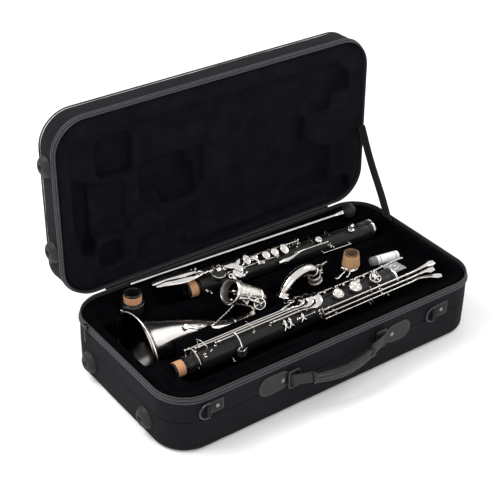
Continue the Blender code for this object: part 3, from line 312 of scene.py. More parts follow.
def sweep(path, size, up=None, sides=12, square=1.0, closed=False, thin=None, dome=True):
    """A bar along a path: size is its half width and thin its half thickness, per station."""
    path = [Vector(p) for p in path]
    count = len(path)
    wide = list(size) if hasattr(size, "__len__") else [size] * count
    if thin is None:
        thick = list(wide)
    else:
        thick = list(thin) if hasattr(thin, "__len__") else [thin] * count
    heading = directions(path, closed)
    stations = []
    normal = None
    for i in range(count):
        if up is not None:
            guide = up[i] if isinstance(up, list) else up
            side = heading[i].cross(Vector(guide))
            if side.length < 1e-6:
                side = heading[i].orthogonal()
            side.normalize()
            normal = side.cross(heading[i]).normalized()
        else:
            if normal is None:
                normal = heading[i].orthogonal().normalized()
            normal = (normal - heading[i] * normal.dot(heading[i])).normalized()
            side = heading[i].cross(normal).normalized()
        stations.append((path[i], side, normal, wide[i], thick[i]))
    if dome and not closed:
        caps = []
        for index, sign in ((0, -1), (count - 1, 1)):
            p, side, normal, w, t = stations[index]
            rounds = []
            for angle in (35, 62, 82):
                a = math.radians(angle)
                rounds.append((p + heading[index] * sign * min(w, t) * math.sin(a), side, normal,
                               max(w - min(w, t) * (1 - math.cos(a)), 1e-5), t * math.cos(a)))
            caps.append(rounds)
        stations = caps[0][::-1] + stations + caps[1]
    loops = []
    for p, side, normal, w, t in stations:
        loop = []
        for k in range(sides):
            a = 2 * math.pi * (k + 0.5) / sides
            c, s = math.cos(a), math.sin(a)
            c = math.copysign(abs(c) ** square, c)
            s = math.copysign(abs(s) ** square, s)
            loop.append(p + side * w * c + normal * t * s)
        loops.append(loop)
    return skin(loops, wrap=closed)


def pipe(path, radii, wall, sides=48):
    """A thin pipe open at both ends."""
    path = [Vector(p) for p in path]
    heading = directions(path)
    loops = []
    for shrink, order in ((0.0, 1), (wall, -1)):
        for i in list(range(len(path)))[::order]:
            across = Vector((0, 1, 0))
            across = (across - heading[i] * across.dot(heading[i])).normalized()
            upward = heading[i].cross(across)
            loops.append([path[i] + (radii[i] - shrink)
                          * (math.cos(a) * across + math.sin(a) * upward)
                          for a in (2 * math.pi * k / sides for k in range(sides))])
    return skin(loops, wrap=True)


def smooth(points, steps):
    """A Catmull-Rom curve through the points, of any number of columns."""
    points = [Vector(p) for p in points]
    ends = [2 * points[0] - points[1], *points, 2 * points[-1] - points[-2]]
    path = []
    for a, b, c, d in zip(ends, ends[1:], ends[2:], ends[3:]):
        for i in range(steps):
            t = i / steps
            path.append(0.5 * ((2 * b) + (c - a) * t + (2 * a - 5 * b + 4 * c - d) * t ** 2
                               + (3 * b - a - 3 * c + d) * t ** 3))
    path.append(points[-1])
    return path


def spread(values, count):
    """Reads a short list of sizes along a longer path."""
    return list(np.interp(np.linspace(0, 1, count), np.linspace(0, 1, len(values)), values))


def block(size, soft, steps=3, upright_only=False, cuts=0):
    """A box with rounded edges, centred on the origin."""
    bm = bmesh.new()
    bmesh.ops.create_cube(bm, size=1.0, matrix=Matrix.Diagonal((*size, 1)))
    edges = [e for e in bm.edges if not upright_only
             or abs(e.verts[0].co.z - e.verts[1].co.z) > size[2] / 2]
    bmesh.ops.bevel(bm, geom=edges, offset=soft, offset_type="OFFSET", segments=steps,
                    profile=0.5, affect="EDGES")
    if cuts:
        bmesh.ops.subdivide_edges(bm, edges=bm.edges, cuts=cuts, use_grid_fill=True)
    bm.verts.index_update()
    shape = [v.co.copy() for v in bm.verts], [tuple(v.index for v in f.verts) for f in bm.faces]
    bm.free()
    return shape


def plate(outline, thickness, dome=0.0, soft=0.0004):
    """A flat plate with a free outline, its edges rounded and its top slightly crowned."""
    outline = [Vector((x, y, 0)) for x, y in outline]
    middle = sum(outline, Vector()) / len(outline)
    loops = []
    for shrink, z in ((0.5, 0.0), (1.0 - soft / 0.006, 0.0), (1.0, soft),
                      (1.0, thickness - soft), (1.0 - soft / 0.006, thickness),
                      (0.5, thickness + dome)):
        loops.append([middle + (p - middle) * shrink + Vector((0, 0, z)) for p in outline])
    return skin(loops)


def around(s, angle, distance):
    a = math.radians(angle)
    return Vector((s, -distance * math.sin(a), distance * math.cos(a)))


def outward(angle):
    return around(0, angle, 1.0)


# ---------------------------------------------------------------- small parts of keywork
def rod(build, start, end, radius=0.0017, slot=0):
    """A hinge tube with collars and a slotted pivot screw in each end."""
    start, end = Vector(start), Vector(end)
    length, r = (end - start).length, radius
    profile = [(0, 0), (r * 0.55, 0), (r * 0.62, 0.0003), (r, 0.0004), (r * 1.12, 0.0007),
               (r * 1.12, 0.0019), (r * 0.92, 0.0022)]
    joints = max(1, int(length / 0.045))
    for i in range(1, joints):
        z = length * i / joints
        profile += [(r * 0.92, z - 0.0009), (r * 1.08, z - 0.0007), (r * 1.08, z - 0.0001),
                    (r * 0.86, z), (r * 1.08, z + 0.0001), (r * 1.08, z + 0.0007),
                    (r * 0.92, z + 0.0009)]
    profile += [(r * 0.92, length - 0.0022), (r * 1.12, length - 0.0019),
                (r * 1.12, length - 0.0007), (r, length - 0.0004),
                (r * 0.62, length - 0.0003), (r * 0.55, length), (0, length)]
    build.add(lathe(profile, 16), slot, at(start, end - start))


def knob_post(build, s, angle, surface, distance, size=0.0024, slot=0):
    """A turned post: a foot flange on the tube, a waisted stem and a ball head."""
    height = distance - surface + 0.0012
    profile = [(0, 0), (size * 0.95, 0), (size * 0.95, 0.0016), (size * 0.50, 0.0022),
               (size * 0.42, height - size * 1.05)]
    for i in range(9):
        a = math.radians(-62 + 152 * i / 8)
        profile.append((max(size * 0.88 * math.cos(a), 0), height + size * 0.88 * math.sin(a)))
    build.add(lathe(profile, 14), slot, at(around(s, angle, surface - 0.0012), outward(angle)))


def wire(build, points, radius, slot=0, steps=4, closed=False, sides=10):
    build.add(sweep(smooth(points, steps) if steps else points, radius, sides=sides,
                    closed=closed), slot)


def blade(build, points, widths, thin, up, slot=0, steps=5, sides=16, square=0.75):
    path = smooth(points, steps)
    build.add(sweep(path, spread(widths, len(path)), up=up, sides=sides, square=square,
                    thin=spread(thin, len(path)) if hasattr(thin, "__len__") else thin), slot)


def strap_guard(build, s, first, last, distance, end_distance, surface, width=0.0019, slot=0):
    """A flat bridge of metal with screwed feet, over the keys beside a tube."""
    path = [around(s, first, surface - 0.0004)]
    for i in range(9):
        t = i / 8
        path.append(around(s, first + (last - first) * t,
                           distance + (end_distance - distance) * t))
    path.append(around(s, last, surface - 0.0004))
    path = smooth(path, 3)
    build.add(sweep(path, width, up=(1, 0, 0),
                    thin=width * 0.42, sides=12, square=0.8), slot)


def pad_cup(build, centre, axis, radius, height=0.0050, turn=0.0, knurl=0, spokes=0):
    """A key cup with its turned top and its dark pad; slot 0 is metal and slot 1 the pad."""
    place, r, h = at(centre, axis, turn), radius, height
    if spokes:
        build.add(lathe([(r, -h * 0.2), (r, h * 0.42), (r * 0.93, h * 0.5), (r * 0.84, h * 0.46),
                         (r * 0.82, -h * 0.2)], 40, 0.0003), 0, place)
        build.add(lathe([(0, h * 0.1), (r * 0.84, h * 0.1), (r * 0.84, -h * 0.1), (0, -h * 0.1)],
                        32), 1, place)
        for i in range(spokes):
            a = 2 * math.pi * i / spokes
            tip = Vector((r * 0.88 * math.cos(a), r * 0.88 * math.sin(a), h * 0.30))
            build.add(sweep([Vector((0, 0, h * 0.62)), tip * 0.5 + Vector((0, 0, h * 0.35)), tip],
                            [r * 0.16, r * 0.10, r * 0.12], up=(0, 0, 1), thin=h * 0.13,
                            sides=10), 0, place)
        build.add(lathe([(0, h * 0.95), (r * 0.16, h * 0.85), (r * 0.24, h * 0.45),
                         (r * 0.20, h * 0.2), (0, h * 0.2)], 20, 0.0002), 0, place)
    else:
        profile = [(0, h * 0.52), (r * 0.50, h * 0.52), (r * 0.56, h * 0.42), (r * 0.64, h * 0.42),
                   (r * 0.70, h * 0.50), (r * 0.84, h * 0.48), (r * 0.95, h * 0.36),
                   (r, h * 0.16), (r, -h * 0.16), (r * 0.96, -h * 0.22), (0, -h * 0.22)]
        build.add(lathe(profile, 44, 0.0002), 0, place)
    if knurl:
        for i in range(knurl):
            a = 2 * math.pi * i / knurl
            build.add(block((0.0010, 0.0012, h * 0.55), 0.0003, 1), 0,
                      place @ Matrix.Rotation(a, 4, "Z") @ Matrix.Translation((r, 0, -h * 0.06)))
    build.add(lathe([(0, -h * 0.18), (r * 0.94, -h * 0.18), (r * 0.97, -h * 0.40),
                     (r * 0.88, -h * 0.52), (0, -h * 0.52)], 36, 0.0004), 1, place)


def touch(build, centre, axis, radius, thickness, stretch=1.3, turn=0.0, slot=0):
    """A finger touch: an oval plate with a crowned top and rounded edge."""
    profile = [(0, thickness * 0.62), (radius * 0.5, thickness * 0.58),
               (radius * 0.86, thickness * 0.40), (radius, 0.0), (radius * 0.9, -thickness * 0.4),
               (radius * 0.5, -thickness * 0.5), (0, -thickness * 0.5)]
    build.add(lathe(profile, 32, 0.0004), slot,
              at(centre, axis, turn) @ Matrix.Diagonal((stretch, 1, 1, 1)))


# ---------------------------------------------------------------- the case's outline
def rim(step):
    """Points round the case's rim, evenly spaced, each with its outward direction."""
    ax, ay, arc = LENGTH / 2 - CORNER, WIDTH / 2 - CORNER, math.pi * CORNER / 2
    runs = [("line", (ax + CORNER, -ay), (0, 1), 2 * ay, (1, 0)), ("arc", (ax, ay), 0),
            ("line", (ax, ay + CORNER), (-1, 0), 2 * ax, (0, 1)), ("arc", (-ax, ay), 90),
            ("line", (-ax - CORNER, ay), (0, -1), 2 * ay, (-1, 0)), ("arc", (-ax, -ay), 180),
            ("line", (-ax, -ay - CORNER), (1, 0), 2 * ax, (0, -1)), ("arc", (ax, -ay), 270)]
    total = 4 * ax + 4 * ay + 4 * arc
    count = int(round(total / step))
    points, travelled, index = [], 0.0, 0
    for i in range(count):
        s = total * i / count
        while True:
            run = runs[index]
            length = run[3] if run[0] == "line" else arc
            if s - travelled < length - 1e-12:
                break
            travelled += length
            index += 1
        d = s - travelled
        if run[0] == "line":
            points.append((run[1][0] + run[2][0] * d, run[1][1] + run[2][1] * d, *run[4]))
        else:
            a = math.radians(run[2]) + d / CORNER
            points.append((run[1][0] + CORNER * math.cos(a), run[1][1] + CORNER * math.sin(a),
                           math.cos(a), math.sin(a)))
    return points


def round_case(levels, step=0.008, wrap=False):
    """A shell skinned over the outline; each level is (outset, height)."""
    outline = rim(step)
    return skin([[Vector((x + nx * out, y + ny * out, z)) for x, y, nx, ny in outline]
                 for out, z in levels], wrap=wrap)


def along_rim(outset, height, radius, step=0.006, sides=8, ribs=0.0):
    """A round cord that follows the outline; ribs make it a coil."""
    outline = rim(step)
    path = [Vector((x + nx * outset, y + ny * outset, height)) for x, y, nx, ny in outline]
    size = [radius * (1 + ribs * (1 if i % 2 else -1)) for i in range(len(path))]
    return sweep(path, size, up=(0, 0, 1), sides=sides, closed=True)


def rows(points, count):
    """Adds stations between the levels of a profile."""
    result = []
    for (a, b), (c, d) in zip(points, points[1:]):
        result += [(a + (c - a) * i / count, b + (d - b) * i / count) for i in range(count)]
    return result + [points[-1]]


def quarter(outset, height, radius, up):
    """Levels of a rounded bottom edge, from the flat face out to the wall."""
    result = []
    for i in range(7):
        a = math.radians(90 * i / 6)
        result.append((outset - radius + radius * math.sin(a),
                       height + up * (radius - radius * math.cos(a))))
    return result


def stitches(build, path, up, slot, length=0.0030, gap=0.0012, width=0.00045, lift=0.0003):
    """A row of thread stitches along a path, slightly sunk at each end."""
    path = [Vector(p) for p in path]
    lengths = [0.0]
    for a, b in zip(path, path[1:]):
        lengths.append(lengths[-1] + (b - a).length)

    def point(s):
        return Vector([np.interp(s, lengths, [p[k] for p in path]) for k in range(3)])

    s = gap
    while s + length < lengths[-1]:
        a, b = point(s), point(s + length)
        middle = (a + b) / 2 + Vector(up) * lift
        build.add(sweep([a - Vector(up) * 0.0003, middle, b - Vector(up) * 0.0003], width, sides=6),
                  slot)
        s += length + gap


# ---------------------------------------------------------------- soft linings
def box_distance(x, y, x0, x1, y0, y1, r):
    cx, cy = (x0 + x1) / 2, (y0 + y1) / 2
    qx = np.abs(x - cx) - (x1 - x0) / 2 + r
    qy = np.abs(y - cy) - (y1 - y0) / 2 + r
    return np.hypot(np.maximum(qx, 0), np.maximum(qy, 0)) + np.minimum(np.maximum(qx, qy), 0) - r


def area_distance(x, y, corners):
    """Signed distance to a polygon, below zero inside."""
    best = np.full(x.shape, 1e9)
    inside = np.zeros(x.shape, bool)
    for (x0, y0), (x1, y1) in zip(corners, corners[1:] + corners[:1]):
        ex, ey = x1 - x0, y1 - y0
        t = np.clip(((x - x0) * ex + (y - y0) * ey) / (ex * ex + ey * ey), 0, 1)
        best = np.minimum(best, np.hypot(x - x0 - ex * t, y - y0 - ey * t))
        with np.errstate(divide="ignore", invalid="ignore"):
            crosses = ((y0 > y) != (y1 > y)) & (x < (x1 - x0) * (y - y0) / (y1 - y0) + x0)
        inside ^= crosses
    return np.where(inside, -best, best)


def dig(z, distance, target, wall):
    t = np.clip(-distance / wall, 0, 1)
    t = t * t * t * (t * (6 * t - 15) + 10)
    return np.where(target < z, z + (target - z) * t, z)


def nap(x, y, amount):
    """The slight unevenness of cloth glued over foam."""
    return amount * (np.sin(61 * x + 1.3) * np.sin(53 * y + 0.4)
                     + 0.5 * np.sin(143 * x - 97 * y) + 0.35 * np.sin(211 * x + 187 * y + 2))


def lining(name, body, height, inset, foot, finish_used, node, place=None, pitch=0.0016):
    """A padded lining: a fine sheet over the recesses, closed round its side and underneath."""
    r = CORNER - inset
    ax, ay = LENGTH / 2 - CORNER, WIDTH / 2 - CORNER
    xs = np.linspace(-LENGTH / 2, LENGTH / 2, int(LENGTH / pitch))
    ys = np.linspace(-WIDTH / 2, WIDTH / 2, int(WIDTH / pitch))
    gx, gy = np.meshgrid(xs, ys)
    qx, qy = np.clip(gx, -ax, ax), np.clip(gy, -ay, ay)
    dx, dy = gx - qx, gy - qy
    away = np.hypot(dx, dy)
    outside = away > r
    pull = np.where(outside, r / np.maximum(away, 1e-9), 1.0)
    x, y = qx + dx * pull, qy + dy * pull
    edge = np.minimum(np.where(away > 0, r - np.hypot(dx, dy) * pull, 1.0),
                      np.minimum(ax + r - np.abs(x), ay + r - np.abs(y)))
    z = height(x, y, edge)
    n, m = gx.shape
    index = np.arange(n * m).reshape(n, m)
    quads = np.stack([index[:-1, :-1], index[:-1, 1:], index[1:, 1:], index[1:, :-1]], -1)
    quads = quads.reshape(-1, 4)
    quads = quads[~outside.reshape(-1)[quads].all(axis=1)]
    used, inverse = np.unique(quads, return_inverse=True)
    points = np.stack([x.reshape(-1), y.reshape(-1), z.reshape(-1)], -1)[used]
    mesh = bpy.data.meshes.new(name)
    mesh.from_pydata(points.tolist(), [], inverse.reshape(-1, 4).tolist())
    bm = bmesh.new()
    bm.from_mesh(mesh)
    bmesh.ops.remove_doubles(bm, verts=bm.verts, dist=2e-5)
    rim_edges = [e for e in bm.edges if e.is_boundary]
    made = bmesh.ops.extrude_edge_only(bm, edges=rim_edges)["geom"]
    for vertex in (g for g in made if isinstance(g, bmesh.types.BMVert)):
        vertex.co.z = foot
    bmesh.ops.edgeloop_fill(bm, edges=[g for g in made if isinstance(g, bmesh.types.BMEdge)])
    if place is not None:
        bmesh.ops.transform(bm, matrix=place, verts=bm.verts)
    bmesh.ops.recalc_face_normals(bm, faces=bm.faces)
    bm.to_mesh(mesh)
    bm.free()
    mesh.materials.append(finish_used)
    mesh.shade_smooth()
    piece = bpy.data.objects.new(name, mesh)
    bpy.context.scene.collection.objects.link(piece)
    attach(piece, body)
    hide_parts(node)
    return piece


BELL_LINE = [
    (-0.2750, 0.0290, 0.0780, 0.0660), (-0.2735, 0.0289, 0.0780, 0.0615),
    (-0.2700, 0.0288, 0.0779, 0.0560), (-0.2620, 0.0285, 0.0775, 0.0480),
    (-0.2400, 0.0275, 0.0775, 0.0385), (-0.2050, 0.0255, 0.0755, 0.0300),
    (-0.1650, 0.0230, 0.0680, 0.0245), (-0.1250, 0.0210, 0.0570, 0.0205),
    (-0.0850, 0.0195, 0.0490, 0.0188), (-0.0620, 0.0187, 0.0480, 0.0182),
    (-0.0400, 0.0183, 0.0530, 0.0180), (-0.0280, 0.0180, 0.0690, 0.0180),
    (-0.0310, 0.0180, 0.0870, 0.0180), (-0.0440, 0.0182, 0.1000, 0.0184),
    (-0.0680, 0.0186, 0.1150, 0.0196), (-0.0930, 0.0190, 0.1300, 0.0212)]


def base_height(x, y, edge):
    z = 0.1085 - 0.0040 * np.clip(1 - edge / 0.008, 0, 1) ** 2
    z = dig(z, box_distance(x, y, -0.312, 0.312, -0.150, 0.134, 0.040), 0.0995, 0.012)
    z = dig(z, box_distance(x, y, -0.290, 0.010, -0.146, -0.030, 0.030), 0.0960, 0.012)
    z = dig(z, box_distance(x, y, -0.012, 0.308, -0.146, 0.106, 0.030), 0.0870, 0.018)
    slope = np.interp(x, [-0.205, -0.105], [0.0995, 0.0870])
    z = dig(z, box_distance(x, y, -0.215, 0.060, 0.026, 0.1100, 0.020), slope, 0.010)
    z = dig(z, box_distance(x, y, -0.285, 0.305, 0.120, 0.1575, 0.010), 0.1055, 0.006)
    along = np.interp(x, [-0.2095, 0.2570], [0.1560, 0.1360])
    groove = np.maximum(np.abs(y - along) - 0.0058, np.maximum(-0.216 - x, x - 0.262))
    z = dig(z, groove, 0.1035, 0.005)
    z = z + nap(x, y, 0.00035)
    z = dig(z, box_distance(x, y, 0.236, 0.290, 0.1195, 0.1535, 0.012), 0.0925, 0.006)
    z = dig(z, box_distance(x, y, -0.270, 0.2285, -0.1185, -0.037, 0.018), 0.0600, 0.012)
    z = dig(z, box_distance(x, y, 0.178, 0.308, -0.1185, -0.066, 0.014), 0.0600, 0.012)
    z = dig(z, box_distance(x, y, -0.309, -0.222, -0.0410, 0.0985, 0.014), 0.0085, 0.008)
    line = np.array(BELL_LINE[:11])
    middle = np.interp(x, line[:, 0], line[:, 1])
    half = np.interp(x, line[:, 0], line[:, 3])
    flank = np.abs(y - middle) - half - 0.0055
    body = np.maximum(flank, np.maximum(-0.238 - x, x + 0.012))
    z = dig(z, body, 0.0200, 0.006)
    z = dig(z, box_distance(x, y, -0.152, -0.006, -0.0255, 0.0460, 0.012), 0.0200, 0.007)
    z = dig(z, box_distance(x, y, -0.007, 0.133, -0.0195, 0.0425, 0.014), 0.0670, 0.009)
    z = dig(z, box_distance(x, y, 0.204, 0.308, -0.0320, 0.0410, 0.012), 0.0790, 0.008)
    z = dig(z, box_distance(x, y, 0.208, 0.2645, -0.0615, -0.0235, 0.008), 0.0790, 0.006)
    z = dig(z, np.hypot(x + 0.2315, y - 0.1115) - 0.0240, 0.0190, 0.0032)
    z = dig(z, box_distance(x, y, -0.262, -0.231, 0.1025, 0.1175, 0.003), 0.0820, 0.002)
    z = dig(z, np.hypot(x - 0.177, y - 0.0125) - 0.0220, 0.0230, 0.0032)
    turn = math.radians(-3.65)
    u = (x + 0.121) * math.cos(turn) + (y - 0.112) * math.sin(turn)
    v = -(x + 0.121) * math.sin(turn) + (y - 0.112) * math.cos(turn)
    return dig(z, box_distance(u, v, -0.066, 0.428, -0.0290, 0.0230, 0.014), 0.0655, 0.009)


def lid_height(x, y, edge):
    """y runs up the open lid from its hinge and the result is the depth behind the rim."""
    h = WIDTH / 2 - y
    z = -(0.0035 + 0.0035 * np.clip(1 - edge / 0.009, 0, 1) ** 2)
    main = area_distance(x, h, [
        (-0.292, 0.298), (0.255, 0.300), (0.287, 0.274), (0.289, 0.236), (0.209, 0.237),
        (0.186, 0.223), (0.187, 0.161), (0.249, 0.126), (0.246, 0.055), (0.066, 0.055),
        (0.049, 0.044), (-0.116, 0.044), (-0.126, 0.090), (-0.146, 0.116), (-0.178, 0.119),
        (-0.196, 0.098), (-0.268, 0.096), (-0.302, 0.120), (-0.304, 0.270)])
    z = dig(z, main - 0.004, -0.0190, 0.013)
    z = dig(z, box_distance(x, h, -0.236, 0.300, 0.010, 0.034, 0.010), -0.0100, 0.010)
    peg = np.interp(x, [-0.2095, 0.2570], [0.0120, 0.0320])
    groove = np.maximum(np.abs(h - peg) - 0.0108, np.maximum(-0.230 - x, x - 0.266))
    z = dig(z, groove, -0.0095, 0.0065)
    z = dig(z, box_distance(x, h, 0.240, 0.303, 0.007, 0.059, 0.018), -0.0165, 0.009)
    z = dig(z, box_distance(x, h, -0.184, -0.076, 0.016, 0.080, 0.018), -0.0150, 0.009)
    z = dig(z, box_distance(x, h, 0.178, 0.248, 0.206, 0.246, 0.010), -0.0150, 0.007)
    z = dig(z, box_distance(x, h, -0.259, -0.207, 0.034, 0.092, 0.020), -0.0240, 0.008)
    flare = area_distance(x, h, [(-0.296, 0.222), (-0.240, 0.196), (-0.190, 0.188),
                                 (-0.192, 0.116), (-0.262, 0.100), (-0.293, 0.112)])
    z = dig(z, flare - 0.002, -0.0270, 0.008)
    z = dig(z, box_distance(x, h, -0.292, -0.258, 0.073, 0.207, 0.014), -0.0375, 0.005)
    z = dig(z, box_distance(x, h, -0.248, -0.170, 0.201, 0.284, 0.016), -0.0360, 0.009)
    z = dig(z, box_distance(x, h, -0.166, -0.027, 0.128, 0.214, 0.014), -0.0290, 0.007)
    z = dig(z, box_distance(x, h, -0.163, -0.060, 0.142, 0.207, 0.010), -0.0425, 0.007)
    z = dig(z, box_distance(x, h, -0.124, -0.042, 0.110, 0.184, 0.018), -0.0425, 0.007)
    return -z + nap(x, y, 0.0003)


# ---------------------------------------------------------------- the case
def make_base():
    seam = 0.061
    levels = quarter(0.0, 0.0, 0.0085, 1)
    levels += rows([(0.0, 0.0090), (0.0002, 0.030), (0.0004, seam - 0.0010)], 4)
    levels += [(-0.0006, seam), (0.0004, seam + 0.0010)]
    levels += rows([(0.0004, seam + 0.002), (0.0, 0.0992)], 5)
    levels += [(-0.0015, 0.1000), (-0.0044, 0.1000), (-0.0048, 0.0994), (-0.0048, 0.0080),
               (-0.0140, 0.0052)]
    shell = Build(FABRIC, TWILL, THREAD, RIVET)
    shell.add(round_case(levels, 0.006))
    shell.make("base_cover", "case", "fabric", wobble=0.00028, wobble_scale=17)

    tabs = Build(TWILL, THREAD, RIVET)
    for (x, z), (w, h), ring_x in (((-0.249, 0.081), (0.026, 0.024), -0.267),
                                   ((0.234, 0.072), (0.032, 0.028), 0.215)):
        face = -WIDTH / 2
        tabs.add(block((w, 0.0022, h), 0.0008, 2, cuts=1), 0,
                 Matrix.Translation((x, face - 0.0007, z)))
        inner = x + math.copysign(w / 2, ring_x - x)
        tabs.add(sweep([(inner, face - 0.0010, z), (ring_x, face - 0.0014, z)], 0.0010,
                       up=(0, -1, 0), thin=0.0009), 0)
        loop = []
        for i in range(11):
            a = math.radians(-70 + 320 * i / 10)
            loop.append(Vector((ring_x + 0.0030 * math.cos(a), face - 0.0052
                                + 0.0032 * math.sin(a), z)))
        tabs.add(sweep(loop, h * 0.40, up=[(p - Vector((ring_x, face - 0.0052, z))) for p in loop],
                       thin=0.0006, square=0.5), 0)
        out, sx, sz = (0, -1, 0), w / 2 - 0.0022, h / 2 - 0.0022
        edge = face - 0.0019
        corners = [(x - sx, edge, z - sz), (x + sx, edge, z - sz), (x + sx, edge, z + sz),
                   (x - sx, edge, z + sz), (x - sx, edge, z - sz)]
        for a, b in zip(corners, corners[1:]):
            stitches(tabs, [a, b], out, 1, 0.0022, 0.0009, 0.0004)
        tabs.add(lathe([(0, 0.0026), (0.0020, 0.0024), (0.0036, 0.0014), (0.0040, 0.0),
                        (0.0, 0.0)], 28, 0.0002), 2, at((x, face - 0.0016, z), out))
    tabs.make("webbing_tabs", "case", "fabric", ["base_shell"])

    zip_half = Build(ZIP_TAPE, ZIP_COIL, THREAD)
    zip_half.add(round_case([(0.0002, 0.1004), (0.0003, 0.1040), (-0.0004, 0.1075),
                             (-0.0012, 0.1098), (-0.0022, 0.1103), (-0.0030, 0.1098),
                             (-0.0040, 0.1070), (-0.0044, 0.1004)], 0.006, wrap=True), 0)
    zip_half.add(along_rim(-0.0018, 0.1103, 0.00115, 0.0011, 6, 0.22), 1)
    zip_half.add(along_rim(0.0003, 0.1052, 0.0005, 0.006, 6), 2)
    zip_half.add(along_rim(-0.0001, 0.1076, 0.0004, 0.006, 6), 2)
    zip_half.make("base_zip", "case", "zip", ["base_zip_band"], sharp=60)
    piping = Build(PIPING_GREY)
    piping.add(along_rim(0.0006, 0.1010, 0.0017, 0.005, 10))
    piping.make("base_piping", "case", "leather", sharp=80)

    lining("base_lining", "case", base_height, 0.0050, 0.0062, PLUSH, "base_foam")

    hinge_cloth = Build(TWILL, THREAD)
    route = [(0.1686, 0.080), (0.1687, 0.092), (0.1690, 0.101), (0.1700, 0.1068),
             (0.1726, 0.1098), (0.1770, 0.1104), (0.184, 0.1102), (0.192, 0.1100)]
    route = smooth([Vector((0, y, z)) for y, z in route], 3)
    cloth = []
    for x in np.linspace(-0.250, 0.250, 41):
        bulge = 0.0004 * math.sin(37 * x)
        cloth.append([Vector((x, p.y + t * 0.0005 + (bulge if t > 0 else 0), p.z - t * 0.0004))
                      for t, line in ((1, route), (-1, route[::-1])) for p in line])
    hinge_cloth.add(skin(cloth), 0)
    for z in (0.084, 0.089):
        stitches(hinge_cloth, [(-0.248, 0.1692, z), (0.248, 0.1692, z)], (0, 1, 0), 1, 0.0034,
                 0.0016, 0.0004)
    cloth_piece = hinge_cloth.make("hinge_cloth", None, "fabric", ["hinge_strip"], sharp=60)
    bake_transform(cloth_piece)

    strap = Build(TWILL, THREAD)
    low, high = Vector((0.3185, 0.0740, 0.1085)), Vector((0.3185, 0.1655, 0.2610))
    run = (high - low).normalized()
    path = [low - run * 0.006 + (high - low + run * 0.012) * i / 34 for i in range(35)]
    path = [p + Vector((0.0012 * math.sin(i * 0.21), 0, 0)) for i, p in enumerate(path)]
    strap.add(sweep(path, 0.0110, up=(1, 0, 0), thin=0.0007, square=0.35, sides=16), 0)
    side = run.cross(Vector((1, 0, 0))).normalized()
    for offset in (-0.0090, 0.0090):
        for face in (-1, 1):
            stitches(strap, [p + side * offset + Vector((face * 0.0006, 0, 0)) for p in path],
                     (face, 0, 0), 1, 0.0026, 0.0012, 0.0003, 0.0002)
    strap_piece = strap.make("stay_webbing", None, "zip", ["stay_strap"], sharp=60)
    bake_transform(strap_piece)


def make_foot(name, body, node, y, z, place=None):
    """A moulded bumper with a rolled lip and a dished middle."""
    profile = [(0.0, 0.0062), (0.0030, 0.0060), (0.0042, 0.0072), (0.0058, 0.0110),
               (0.0082, 0.0118), (0.0115, 0.0110), (0.0150, 0.0088), (0.0176, 0.0056),
               (0.0190, 0.0026), (0.0198, 0.0016), (0.0200, 0.0004), (0.0196, 0.0),
               (0.0, 0.0)]
    foot = Build(RUBBER)
    foot.add(lathe(profile, 56, 0.0012, 3), 0, at((-LENGTH / 2 - 0.0003, y, z), (-1, 0, 0)))
    foot.make(name, body, "rubber", [node], place=place)


